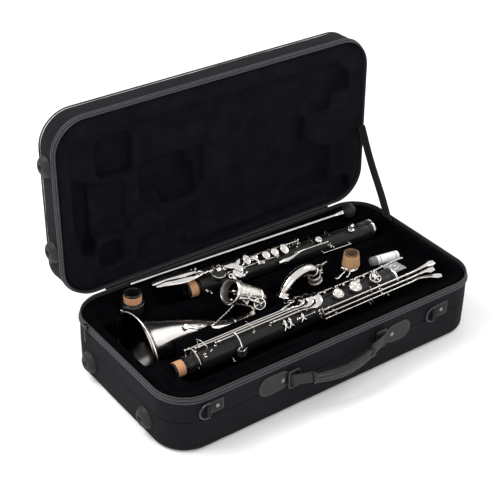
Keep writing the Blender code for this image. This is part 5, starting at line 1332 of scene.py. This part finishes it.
    touch(key, around(0.1240, 8, 0.0302), outward(24), 0.0070, 0.0022, 1.75, 86)
    blade(key, [around(0.1140, -12, 0.0252), around(0.1180, -7, 0.0280), around(0.1230, 0, 0.0294)],
          [0.0018, 0.0018, 0.0032], 0.0012, outward(-8))
    for s, a, r in ((0.1030, 52, 0.0285), (0.1120, 56, 0.0285), (0.1080, 62, 0.0270)):
        key.add(lathe([(0, 0.0022), (0.0020, 0.0020), (0.0026, 0.0008), (0.0022, -0.0014),
                       (0, -0.0016)], 20, 0.0003), 0, at(around(s, a, r), outward(a)))
    blade(key, [around(0.0900, 34, 0.0300), around(0.0900, 46, 0.0318), around(0.0960, 58, 0.0318),
                around(0.1060, 66, 0.0300)], [0.0040, 0.0046, 0.0048, 0.0024],
          [0.0011, 0.0012, 0.0013, 0.0011], outward(50))
    blade(key, [around(0.0840, 46, 0.0300), around(0.0850, 62, 0.0308), around(0.0900, 76, 0.0300),
                around(0.0980, 84, 0.0286)], [0.0026, 0.0032, 0.0034, 0.0018], 0.0011, outward(64))
    key.add(lathe([(0.0046, 0.0012), (0.0046, -0.0012), (0.0026, -0.0012), (0.0026, 0.0012)],
                  28, 0.0003), 0, at(around(0.0790, 50, 0.0296), outward(50)))
    key.add(lathe([(0, 0.0006), (0.0027, 0.0006), (0.0027, -0.0010), (0, -0.0010)], 24, 0.0002), 1,
            at(around(0.0790, 50, 0.0296), outward(50)))
    for s in (0.0640, 0.0760, 0.0860, 0.1350, 0.1420):
        blade(key, [around(s, -12, 0.0254), around(s, -4, 0.0282), around(s + 0.002, 4, 0.0274)],
              [0.0018, 0.0014, 0.0022], 0.0010, outward(-4))
        touch(key, around(s + 0.002, 8, 0.0276), outward(26), 0.0042, 0.0020, 1.5, 60)
    key.make("up_ring_key", "ring_key", "nickel", ["ring_key"], place=UPPER)

    key = Build(NICKEL, PAD)
    rod(key, around(0.1520, -12, 0.0250), around(0.2195, -12, 0.0250), 0.0019)
    for s, stretch, r in ((0.1640, 1.25, 0.0078), (0.1830, 1.30, 0.0074), (0.2040, 1.50, 0.0078)):
        blade(key, [around(s, -12, 0.0250), around(s, -2, 0.0284), around(s, 10, 0.0290)],
              [0.0024, 0.0026, 0.0040], 0.0012, outward(0))
        touch(key, around(s, 14, 0.0286), outward(26), r, 0.0026, stretch, 90)
        key.add(lathe([(0, 0.0010), (0.0052, 0.0010), (0.0056, -0.0006), (0.0048, -0.0020),
                       (0, -0.0020)], 28, 0.0003), 1, at(around(s, 13, 0.0258), outward(22)))
        for side in (-0.0062, 0.0062):
            key.add(lathe([(0, 0.0016), (0.0014, 0.0014), (0.0016, 0.0), (0.0010, -0.0012),
                           (0, -0.0012)], 14, 0.0002), 0,
                    at(around(s + side, -7, 0.0282), outward(-7)))
            blade(key, [around(s + side, -12, 0.0254), around(s + side, -7, 0.0276)],
                  [0.0014, 0.0012], 0.0009, outward(-8))
    key.make("up_plates", "upper_key_2", "nickel", ["upper_key_2"], place=UPPER)

    key = Build(NICKEL, PAD)
    rod(key, around(0.2290, 44, 0.0250), around(0.2920, 44, 0.0250), 0.0018)
    blade(key, [around(0.2440, 44, 0.0252), around(0.2330, 46, 0.0274), around(0.2200, 52, 0.0290),
                around(0.2050, 60, 0.0290), around(0.1930, 63, 0.0280), around(0.1840, 64, 0.0270)],
          [0.0015, 0.0016, 0.0020, 0.0040, 0.0056, 0.0036],
          [0.0014, 0.0013, 0.0014, 0.0019, 0.0020, 0.0014],
          [outward(a) for a in np.interp(np.linspace(0, 5, 36), range(6),
                                         (44, 46, 52, 60, 63, 64))],
          steps=7, sides=20, square=0.9)
    blade(key, [around(0.2800, 44, 0.0250), around(0.2800, 34, 0.0278), around(0.2800, 25, 0.0270)],
          [0.0017, 0.0016, 0.0028], 0.0010, outward(34))
    pad_cup(key, around(0.2800, 20, 0.0244), outward(20), 0.0068, 0.0044)
    key.make("up_spoon", "spoon_key", "nickel", ["spoon_key"], place=UPPER)

    key = Build(NICKEL, PAD)
    foot, axis = around(0.3560, 18, radius + 0.0003), outward(18)
    key.add(lathe([(0, 0.0050), (0.0050, 0.0050), (0.0066, 0.0046), (0.0072, 0.0036),
                   (0.0072, 0.0014), (0.0068, 0.0008), (0, 0.0008)], 36, 0.0004), 0, at(foot, axis))
    key.add(lathe([(0, 0.0010), (0.0064, 0.0010), (0.0066, 0.0004), (0.0058, 0.0), (0, 0.0)],
                  32, 0.0002), 1, at(foot, axis))
    dome = [(0, 0.0045), (0.0030, 0.0048), (0.0026, 0.0070)]
    for i in range(9):
        a = math.radians(-50 + 140 * i / 8)
        dome.append((max(0.0050 * math.cos(a), 0), 0.0112 + 0.0050 * math.sin(a)))
    key.add(lathe(dome, 30), 0, at(foot, axis))
    for a in (0, 120, 240):
        off = at(foot, axis) @ Vector((0.0046 * math.cos(math.radians(a)),
                                       0.0046 * math.sin(math.radians(a)), 0.0052))
        key.add(lathe([(0, 0.0020), (0.0014, 0.0018), (0.0017, 0.0006), (0.0014, 0), (0, 0)],
                      16, 0.0002), 0, at(off, axis))
    key.make("up_vent", "register_vent_key", "nickel", ["register_vent_key"], place=UPPER)


# ---------------------------------------------------------------- bell
def make_bell():
    stations = smooth([Vector(row) for row in BELL_LINE], 6)
    path = [Vector(s[:3]) - Vector((-0.275, 0.029, 0.078)) for s in stations]
    radii = [s[3] for s in stations]
    bell = Build(BELL_SILVER, NICKEL_SATIN, BELL_INSIDE_PAINTED_SHADE, NICKEL)
    shape = pipe(path, radii, 0.0011, 96)
    bell.add(shape, 0)
    # The inner half of the pipe's faces takes the dark inside finish, which is painted shade inside the
    # bell.
    inner = len(shape[1]) // 2
    bell.slots[-inner:] = [2] * inner
    mouth = [Vector((0.0006, 0.0658 * math.cos(a), 0.0658 * math.sin(a)))
             for a in (2 * math.pi * k / 128 for k in range(128))]
    bell.add(sweep(mouth, 0.0014, up=(1, 0, 0), sides=12, closed=True), 0)
    leg = (path[-2] - path[-1]).normalized()
    place = at(path[-1] + leg * 0.0032, leg)
    bell.add(lathe([(0.0226, 0.0040), (0.0232, 0.0030), (0.0236, 0.0006), (0.0234, -0.0022),
                    (0.0222, -0.0034), (0.0206, -0.0034), (0.0202, -0.0020), (0.0202, 0.0040)],
                   80, 0.0005, 3), 0, place)
    bell.add(lathe([(0.0200, 0.020), (0.0200, -0.0020), (0.0192, -0.0020), (0.0192, 0.020)],
                   64, 0.0003), 1, place)
    for index, wide in ((48, 0.0022), (62, 0.0016), (76, 0.0020)):
        ahead = (path[index + 1] - path[index - 1]).normalized()
        r = radii[index]
        bell.add(lathe([(r + 0.0011, wide * 0.6), (r + 0.0013, 0), (r + 0.0011, -wide * 0.6),
                        (r - 0.0003, -wide), (r - 0.0003, wide)], 72, 0.0003), 0,
                 at(path[index], ahead))
    lever_pivot, lever_axis = Vector((0.119, -0.0230, 0.0095)), Vector((0.0, 0.8, 0.6))
    vent_pivot, vent_axis = Vector((0.203, -0.0390, 0.0440)), Vector((-0.5, 0.0, -0.866))
    for pivot, axis, foot, reach in ((lever_pivot, lever_axis, (0.119, -0.0068, -0.0120), 0.0042),
                                     (vent_pivot, vent_axis, (0.203, -0.0104, 0.0400), 0.0088)):
        for side in (-1, 1):
            head = pivot + axis * side * reach
            base = Vector(foot) + axis * side * reach * 0.5
            bell.add(sweep([head, head.lerp(base, 0.5), base], [0.0015, 0.0013, 0.0019]), 0)
            bell.add(lathe([(0, 0.0024), (0.0018, 0.0016), (0.0024, 0), (0.0018, -0.0016),
                            (0, -0.0024)], 16, 0.0006), 0, at(head, axis))
    leg_points = [(0.186, -0.0285, 0.0560), (0.196, -0.0300, 0.0500), (0.211, -0.0300, 0.0410),
                  (0.224, -0.0290, 0.0330)]
    rod(bell, leg_points[0], leg_points[-1], 0.0015)
    rod(bell, (0.180, -0.0240, 0.0620), (0.214, -0.0215, 0.0440), 0.0016)
    for p, a in (((0.186, -0.0285, 0.0560), (0, -1, 0.4)), ((0.2245, -0.0290, 0.0328), (0, -1, 0.3)),
                 ((0.1795, -0.0240, 0.0622), (0, -1, 0.5)), ((0.2145, -0.0215, 0.0438), (0, -1, 0.5)),
                 ((0.1740, -0.0270, 0.0480), (0, -1, 0.2))):
        head = Vector(p)
        centre = Vector((head.x, -0.0105, head.z - 0.010))
        bell.add(sweep([head, head.lerp(centre, 0.6)], [0.0014, 0.0012]), 0)
        bell.add(lathe([(0, 0.0022), (0.0018, 0.0014), (0.0022, 0), (0.0018, -0.0014),
                        (0, -0.0022)], 16, 0.0006), 0, at(head, a))
    for p, r in (((0.190, -0.0285, 0.0500), 0.0042), ((0.2000, -0.0275, 0.0560), 0.0038),
                 ((0.2090, -0.0255, 0.0500), 0.0040)):
        touch(bell, p, (0.1, -0.75, 0.7), r, 0.0018, 1.5, 40)
    bell.make("bell_pipe", "bell", "nickel", ["bell_body"], place=BELL)

    lever = Build(NICKEL, PAD)
    points = [(0.086, -0.0200, 0.0235), (0.097, -0.0210, 0.0180), (0.108, -0.0222, 0.0120),
              lever_pivot, (0.134, -0.0255, 0.0080), (0.149, -0.0295, 0.0202),
              (0.160, -0.0322, 0.0300), (0.171, -0.0350, 0.0400)]
    for shift in (-0.0013, 0.0013):
        wire(lever, [Vector(p) + Vector((shift, 0, shift * 0.8)) for p in points], 0.00085)
    for p in (points[4], points[5], points[6]):
        lever.add(sweep([Vector(p) + Vector((-0.0013, 0, -0.0010)),
                         Vector(p) + Vector((0.0013, 0, 0.0010))], 0.0009, sides=8), 0)
    lever.add(lathe([(0.0030, 0.0030), (0.0030, -0.0030), (0.0012, -0.0030), (0.0012, 0.0030)],
                    24, 0.0003), 0, at(lever_pivot, lever_axis))
    pad_cup(lever, (0.0862, -0.0198, 0.0228), (0.2, -0.5, 0.8), 0.0058, 0.0034)
    for i in range(6):
        t = 0.2 + i * 0.12
        p = Vector((0.134, -0.0255, 0.0080)).lerp(Vector((0.171, -0.0350, 0.0400)), t)
        lever.add(lathe([(0, 0.0011), (0.0009, 0.0008), (0.0010, 0), (0, -0.0004)], 12), 0,
                  at(p + Vector((0.0006, -0.0010, -0.0012)), (0.3, -0.7, -0.3)))
    lever.make("bell_long_lever", "bell_lever", "nickel", ["bell_lever"], place=BELL)

    vent = Build(NICKEL, PAD)
    rod(vent, vent_pivot - vent_axis * 0.0072, vent_pivot + vent_axis * 0.0072, 0.0021)
    cup = Vector((0.2230, -0.0430, 0.0290))
    blade(vent, [vent_pivot, vent_pivot.lerp(cup, 0.5) + Vector((0, -0.0016, 0.0012)),
                 cup + Vector((-0.001, -0.0024, 0.0016))], [0.0026, 0.0020, 0.0030], 0.0012,
          (-0.3, -0.8, 0.5))
    blade(vent, [vent_pivot, vent_pivot + Vector((-0.009, -0.0006, 0.0052)),
                 vent_pivot + Vector((-0.018, 0.0013, 0.0090))], [0.0024, 0.0018, 0.0026],
          0.0012, (-0.2, -0.9, 0.3))
    pad_cup(vent, cup, (-0.30, -0.80, 0.50), 0.0108, 0.0050, turn=20, spokes=4)
    vent.make("bell_vent_cup", "bell_vent_key", "nickel", ["bell_vent_key"], place=BELL)


# ---------------------------------------------------------------- neck, mouthpiece and peg
def make_neck():
    arch = smooth([(0.006, -0.003, -0.006), (0.016, 0.001, 0.012), (0.036, 0.005, 0.024),
                   (0.062, 0.008, 0.027), (0.082, 0.009, 0.016), (0.088, 0.009, -0.004)], 9)
    count = len(arch)
    radii = [0.0082 + 0.0019 * math.sin(math.pi * min(i / (count - 1) * 0.8 + 0.05, 1))
             + 0.0006 * i / (count - 1) for i in range(count)]
    neck = Build(NICKEL, NICKEL_SATIN)
    neck.add(pipe(arch, radii, 0.0010, 64), 0)
    out = (arch[0] - arch[1]).normalized()
    neck.add(lathe([(0.0126, 0.0088), (0.0136, 0.0080), (0.0137, 0.0066), (0.0131, 0.0056),
                    (0.0131, 0.0), (0.0137, -0.0010), (0.0135, -0.0028), (0.0124, -0.0040),
                    (0.0112, -0.0080), (0.0100, -0.0102), (0.0079, -0.0102), (0.0079, 0.0088)],
                   64, 0.0005, 3), 0, at(arch[0] - out * 0.0005, out))
    for s in (9, 36):
        ahead = (arch[s + 1] - arch[s - 1]).normalized()
        r = radii[s]
        neck.add(lathe([(r + 0.0008, 0.0010), (r + 0.0010, 0), (r + 0.0008, -0.0010),
                        (r - 0.0003, -0.0014), (r - 0.0003, 0.0014)], 56, 0.0003), 0,
                 at(arch[s], ahead))
    down = (arch[-1] - arch[-2]).normalized()
    foot = at(arch[-1] - down * 0.0060, down)
    neck.add(lathe([(0.0116, 0.0140), (0.0120, 0.0134), (0.0118, 0.0020), (0.0120, 0.0004),
                    (0.0116, -0.0022), (0.0095, -0.0022), (0.0095, 0.0140)], 64, 0.0004, 3), 1,
             foot)
    hoop = [Vector((0.0130 * math.cos(a), 0.0130 * math.sin(a), 0))
            for a in (math.radians(14 + 332 * k / 48) for k in range(49))]
    turn = foot.to_3x3()
    neck.add(sweep([foot @ (p + Vector((0, 0, 0.0096))) for p in hoop], 0.0031,
                   up=[turn @ p for p in hoop], thin=0.0010, square=0.6, sides=16), 0)
    lug = arch[-1] + Vector((0.0148, 0.004, 0.0035))
    for side in (-0.0021, 0.0021):
        neck.add(block((0.0090, 0.0024, 0.0092), 0.0009, 3), 0,
                 Matrix.Translation(lug + Vector((0, side, 0)))
                 @ Matrix.Rotation(math.radians(14), 4, "Y"))
    neck.make("neck_pipe", "neck", "nickel", ["neck_bow"], place=NECK)

    centre = arch[-1] + Vector((0.0165, 0.004, 0.0130))
    screw = Build(NICKEL)
    screw.add(lathe([(0, 0.0052), (0.0021, 0.0048), (0.0024, 0.0020), (0.0018, 0.0004),
                     (0.0030, 0.0), (0.0030, -0.0012), (0.0017, -0.0016), (0.0017, -0.0036),
                     (0, -0.0036)], 28, 0.0003), 0, at(centre))
    for side in (-1, 1):
        wing = []
        for i in range(20):
            a = 2 * math.pi * i / 20
            wing.append((0.0058 * math.cos(a) * (1.0 - 0.30 * math.sin(a))
                         + side * 0.0034 * max(math.sin(a), 0) ** 2, 0.0088 * math.sin(a)))
        screw.add(plate(wing, 0.0022, 0.0003, 0.0005), 0,
                  Matrix.Translation(centre + Vector((side * 0.0052, 0.0010, 0.0080)))
                  @ Matrix.Rotation(math.radians(side * 26), 4, "Y")
                  @ Matrix.Rotation(math.radians(90), 4, "X"))
    screw.make("neck_wing_screw", "neck_thumb_screw", "nickel", ["neck_thumb_screw"], place=NECK)

    top = 0.1145 - 0.0310 - 0.0800
    receiver = Build(NICKEL, TUBE_INSIDE)
    receiver.add(lathe([(0.0138, top + 0.0304), (0.0131, top + 0.0290), (0.0130, top + 0.0045),
                        (0.0156, top + 0.0012), (0.0166, top - 0.0004), (0.0164, top - 0.0026),
                        (0.0154, top - 0.0056), (0.0146, top - 0.0080), (0.0140, top - 0.0100),
                        (0.0140, -0.0480), (0.0122, -0.0480), (0.0122, top + 0.0304)],
                       72, 0.0005, 3), 0)
    receiver.add(lathe([(0.0142, top + 0.0310), (0.0143, top + 0.0302), (0.0121, top + 0.0290),
                        (0.0121, -0.0470), (0.0112, -0.0470), (0.0112, top + 0.0310)],
                       64, 0.0002), 1)
    for p in ((-0.0168, -0.0150, 0.0085), (-0.0245, -0.0030, 0.0088)):
        p = Vector(p)
        base = Vector((p.x * 0.62, p.y * 0.62, p.z - 0.0110))
        receiver.add(sweep([p, p.lerp(base, 0.5), base], [0.0015, 0.0013, 0.0022]), 0)
        receiver.add(lathe([(0, 0.0024), (0.0019, 0.0015), (0.0024, 0), (0.0019, -0.0015),
                            (0, -0.0024)], 16, 0.0006), 0, at(p + Vector((0, 0, 0.0016))))
    receiver.make("receiver_pipe", "receiver", "nickel", ["neck_receiver"], place=RECEIVER)
    cork_sleeve("receiver_cork", "receiver", "neck_cork", RECEIVER, 0.0143, 0.0133,
                top + 0.0050, top + 0.0286, PALE_CORK, 0.0013)

    pivot, hinge = Vector((-0.0210, -0.0120, 0.0125)), Vector((-0.45, 0.89, 0.0))
    key = Build(NICKEL, PAD)
    rod(key, pivot - hinge * 0.0080, pivot + hinge * 0.0100, 0.0020)
    blade(key, [pivot + hinge * 0.002, pivot + Vector((-0.010, -0.0055, 0.0006)),
                pivot + Vector((-0.020, -0.0085, -0.0004)),
                pivot + Vector((-0.031, -0.0118, -0.0014))], [0.0022, 0.0018, 0.0020, 0.0036],
          0.0012, (0, 0, 1))
    blade(key, [pivot - hinge * 0.004, pivot + Vector((0.0010, -0.0060, 0.0024)),
                pivot + Vector((-0.0040, -0.0140, 0.0010)),
                pivot + Vector((-0.0130, -0.0185, -0.0020))], [0.0016, 0.0014, 0.0014, 0.0018],
          0.0010, (0, 0, 1))
    touch(key, pivot + Vector((-0.030, -0.0115, -0.0005)), (0, 0, 1), 0.0042, 0.0020, 1.3, 20)
    key.make("receiver_lever", "register_key", "nickel", ["register_key"], place=RECEIVER)


def make_mouthpiece():
    z = 0.0
    body = Build(EBONITE)
    body.add(lathe([(0.0146, z + 0.0002), (0.0156, z - 0.0006), (0.0156, z - 0.0038),
                    (0.0140, z - 0.0040), (0.0140, z - 0.0178), (0.0156, z - 0.0180),
                    (0.0156, z - 0.0192), (0.0190, z - 0.0200), (0.0204, z - 0.0216),
                    (0.0206, z - 0.0260), (0.0200, z - 0.0440), (0.0165, z - 0.0700),
                    (0.0115, z - 0.0980), (0.0060, z - 0.0980), (0.0117, z - 0.0400),
                    (0.0120, z + 0.0002)], 80, 0.0006, 3))
    body.make("mouthpiece_body", "mouthpiece", "resin", ["mouthpiece"], place=MOUTHPIECE)
    cork_sleeve("mouthpiece_sleeve", "mouthpiece", "mouthpiece_cork", MOUTHPIECE, 0.0158, 0.0143,
                z - 0.0176, z - 0.0042)
    screws = Build(NICKEL)
    screws.add(block((0.0014, 0.0044, 0.0156), 0.0005, 3), 0,
               Matrix.Translation((-0.0220, -0.0018, -0.0340)))
    for height in (-0.0285, -0.0392):
        start = Vector((-0.0218, -0.0018, height))
        axis = Vector((-0.90, -0.40, 0.10))
        screws.add(lathe([(0, 0.0), (0.0013, 0.0), (0.0013, 0.0018), (0.0026, 0.0020),
                          (0.0029, 0.0026), (0.0028, 0.0040), (0.0020, 0.0048), (0, 0.0051)],
                         24, 0.0003), 0, at(start, axis))
    screws.make("ligature_knobs", "mouthpiece", "nickel", ["ligature_screws"], place=MOUTHPIECE)


def make_peg():
    foot, collar = Vector((-0.2095, 0.1560, 0.1125)), Vector((0.2570, 0.1360, 0.1100))
    ahead = (collar - foot).normalized()
    place, length = at(foot, ahead), (collar - foot).length
    peg = Build(NICKEL)
    peg.add(lathe([(0, length), (0.0060, length), (0.0072, length - 0.0006),
                   (0.0072, length - 0.0026), (0.0062, length - 0.0036),
                   (0.0056, length - 0.0120), (0.0050, length - 0.0150),
                   (0.0038, length - 0.0185), (0.0034, length - 0.0200), (0.0034, 0.0040),
                   (0.0034, 0.0018), (0.0030, 0.0004), (0.0024, 0.0), (0, 0.0)], 32, 0.0005), 0)
    peg.make("peg_tube", "end_peg", "nickel", ["peg_rod"], place=place)
    ball = Build(RUBBER)
    profile = [(0.0, 0.0290)]
    for i in range(1, 22):
        a = math.pi * i / 22
        profile.append((0.0145 * math.sin(a), 0.0145 * (1 + math.cos(a))))
    profile += [(0.0, 0.0)]
    seam = [(0.0, 0.0290)] + [(r + (0.00025 if abs(z - 0.0145) < 0.0012 else 0), z)
                              for r, z in profile[1:-1]] + [(0.0, 0.0)]
    ball.add(lathe(seam, 56), 0, Matrix.Translation((0, 0, length + 0.0003)))
    ball.make("peg_ball", "end_peg", "rubber", ["peg_tip"], place=place)


def make_accessories():
    start, end = Vector((0.222, -0.0065, 0.0905)), Vector((0.268, -0.0140, 0.0905))
    ahead = (end - start).normalized()
    length = (end - start).length
    grease = Build(WHITE, GREY_CAP)
    r = 0.0088
    grease.add(lathe([(0, length), (r * 0.86, length), (r * 0.98, length - 0.0012),
                      (r, length - 0.0026), (r, 0.0020), (r * 1.02, 0.0012), (r * 1.02, 0.0),
                      (0, 0.0)], 56, 0.0006, 3), 0)
    for low_end, high_end in ((0.006, 0.0072), (length - 0.0086, length - 0.0074)):
        grease.add(lathe([(r + 0.00012, high_end), (r + 0.00012, low_end), (r - 0.0004, low_end),
                          (r - 0.0004, high_end)], 56), 1)
    grease.make("grease_stick", "grease_tube", "white", ["grease_tube"], place=at(start, ahead))
    cap = Build(GREY_CAP)
    profile = [(0, -0.0120), (r * 0.80, -0.0120), (r * 0.90, -0.0108), (r * 0.97, -0.0006),
               (r * 0.97, -0.0003), (0, -0.0003)]
    cap.add(lathe(profile, 56, 0.0006, 3), 0)
    for i in range(28):
        a = 2 * math.pi * i / 28
        cap.add(block((0.0007, 0.0009, 0.0082), 0.0003, 1), 0,
                Matrix.Rotation(a, 4, "Z") @ Matrix.Translation((r * 0.945, 0, -0.0058)))
    cap.make("grease_lid", "grease_cap", "rubber", ["grease_cap"], place=at(start, ahead))

    centre = Vector((0.2392, -0.0386, 0.0868))
    turn = (Matrix.Translation(centre) @ Matrix.Rotation(math.radians(4), 4, "Y")
            @ Matrix.Rotation(math.radians(4), 4, "Z"))
    film = Build(FILM)
    sheets = []
    for sign in (1, -1):
        grid = []
        for i in range(29):
            row = []
            for j in range(23):
                u, v = i / 28 * 2 - 1, j / 22 * 2 - 1
                puff = max(1 - abs(u) ** 2.6, 0) * max(1 - abs(v) ** 2.6, 0)
                crease = 0.0016 * noise.noise(Vector((u * 4.0, v * 4.0, sign * 3.0)))
                row.append(Vector((u * 0.0188, v * 0.0138, sign * (0.0033 * puff + 0.0001)
                                   + crease * (0.4 + puff))))
            grid.append(row)
        sheets.append(grid)
    top, bottom = sheets
    loops = []
    for i in range(29):
        loops.append(top[i] + bottom[i][::-1])
    film.add(skin(loops), 0)
    bag = film.make("clear_bag", "accessory_bag", "clear", ["accessory_bag"], place=turn, sharp=80)
    inside = Build(NICKEL, NICKEL_SATIN)
    ring = [Vector((0.0085 * math.cos(a) - 0.004, 0.0066 * math.sin(a), 0.0006))
            for a in (2 * math.pi * k / 32 for k in range(32))]
    inside.add(sweep(ring, 0.0016, up=(0, 0, 1), thin=0.0014, closed=True, sides=12), 0)
    inside.add(sweep([(0.0030, -0.0060, 0.0006), (0.0095, -0.0020, 0.0010),
                      (0.0130, 0.0050, 0.0004)], [0.0015, 0.0018, 0.0013], sides=12), 0)
    inside.add(lathe([(0, 0.0012), (0.0030, 0.0010), (0.0034, -0.0006), (0, -0.0010)], 24,
                     0.0003), 0, at((0.0095, -0.0030, 0.0004), (0.2, -0.3, 1)))
    inside.make("small_fitting", "accessory_bag", "nickel", place=turn)


make_lower_joint()
make_upper_joint()
make_bell()
make_neck()
make_mouthpiece()
make_peg()
make_accessories()


# ---------------------------------------------------------------- floor, light and camera
def make_stage():
    floor = Build(PAPER)
    rings = []
    for r in (0.5, 1.5, 3.0, 6.0, 12.0):
        rings.append([Vector((r * math.cos(a), r * math.sin(a), -0.0004))
                      for a in (2 * math.pi * k / 48 for k in range(48))])
    shape = skin(rings, caps=False)
    shape[1].append(tuple(range(48)))
    floor.add(shape)
    plane = floor.make("floor", None, None)
    for polygon in plane.data.polygons:
        if polygon.normal.z < 0:
            polygon.flip()

    def lamp(name, place, aim, size, power, tint=(1, 1, 1)):
        light = bpy.data.lights.new(name, "AREA")
        light.shape, light.size, light.size_y = "RECTANGLE", size[0], size[1]
        light.energy, light.color = power, tint
        lamp_object = bpy.data.objects.new(name, light)
        lamp_object.location = place
        direction = Vector(aim) - Vector(place)
        lamp_object.rotation_euler = direction.to_track_quat("-Z", "Y").to_euler()
        bpy.context.scene.collection.objects.link(lamp_object)

    lamp("key", (-1.3, 0.9, 2.3), (0, 0, 0.1), (1.5, 1.1), 48)
    lamp("front", (-0.4, -2.6, 1.5), (0, 0, 0.1), (2.0, 0.9), 16)
    lamp("side", (2.2, -0.4, 1.8), (0, 0, 0.1), (0.9, 1.6), 14)
    world = bpy.data.worlds.new("studio")
    world.use_nodes = True
    background = world.node_tree.nodes["Background"]
    background.inputs["Color"].default_value = (1, 1, 1, 1)
    background.inputs["Strength"].default_value = 1.0
    bpy.context.scene.world = world
    bpy.context.scene.view_settings.view_transform = "Standard"


def make_camera():
    yaw, pitch, roll = (math.radians(v) for v in (36.89, 32.99, 1.44))
    ahead = Vector((math.sin(yaw) * math.cos(pitch), math.cos(yaw) * math.cos(pitch),
                    -math.sin(pitch)))
    right = Vector((math.cos(yaw), -math.sin(yaw), 0))
    upward = right.cross(ahead)
    c, s = math.cos(roll), math.sin(roll)
    across, over = c * right + s * upward, -s * right + c * upward
    matrix = Matrix.Identity(4)
    for row in range(3):
        matrix[row][0], matrix[row][1], matrix[row][2] = across[row], over[row], -ahead[row]
    matrix.translation = Vector((-1.155, -1.452, 1.394))
    camera = bpy.data.cameras.new("camera")
    camera.sensor_width, camera.lens = 36.0, 1283 * 36 / 500
    camera.clip_start, camera.clip_end = 0.05, 60
    view = bpy.data.objects.new("camera", camera)
    view.matrix_world = matrix
    bpy.context.scene.collection.objects.link(view)
    bpy.context.scene.camera = view


make_stage()
make_camera()
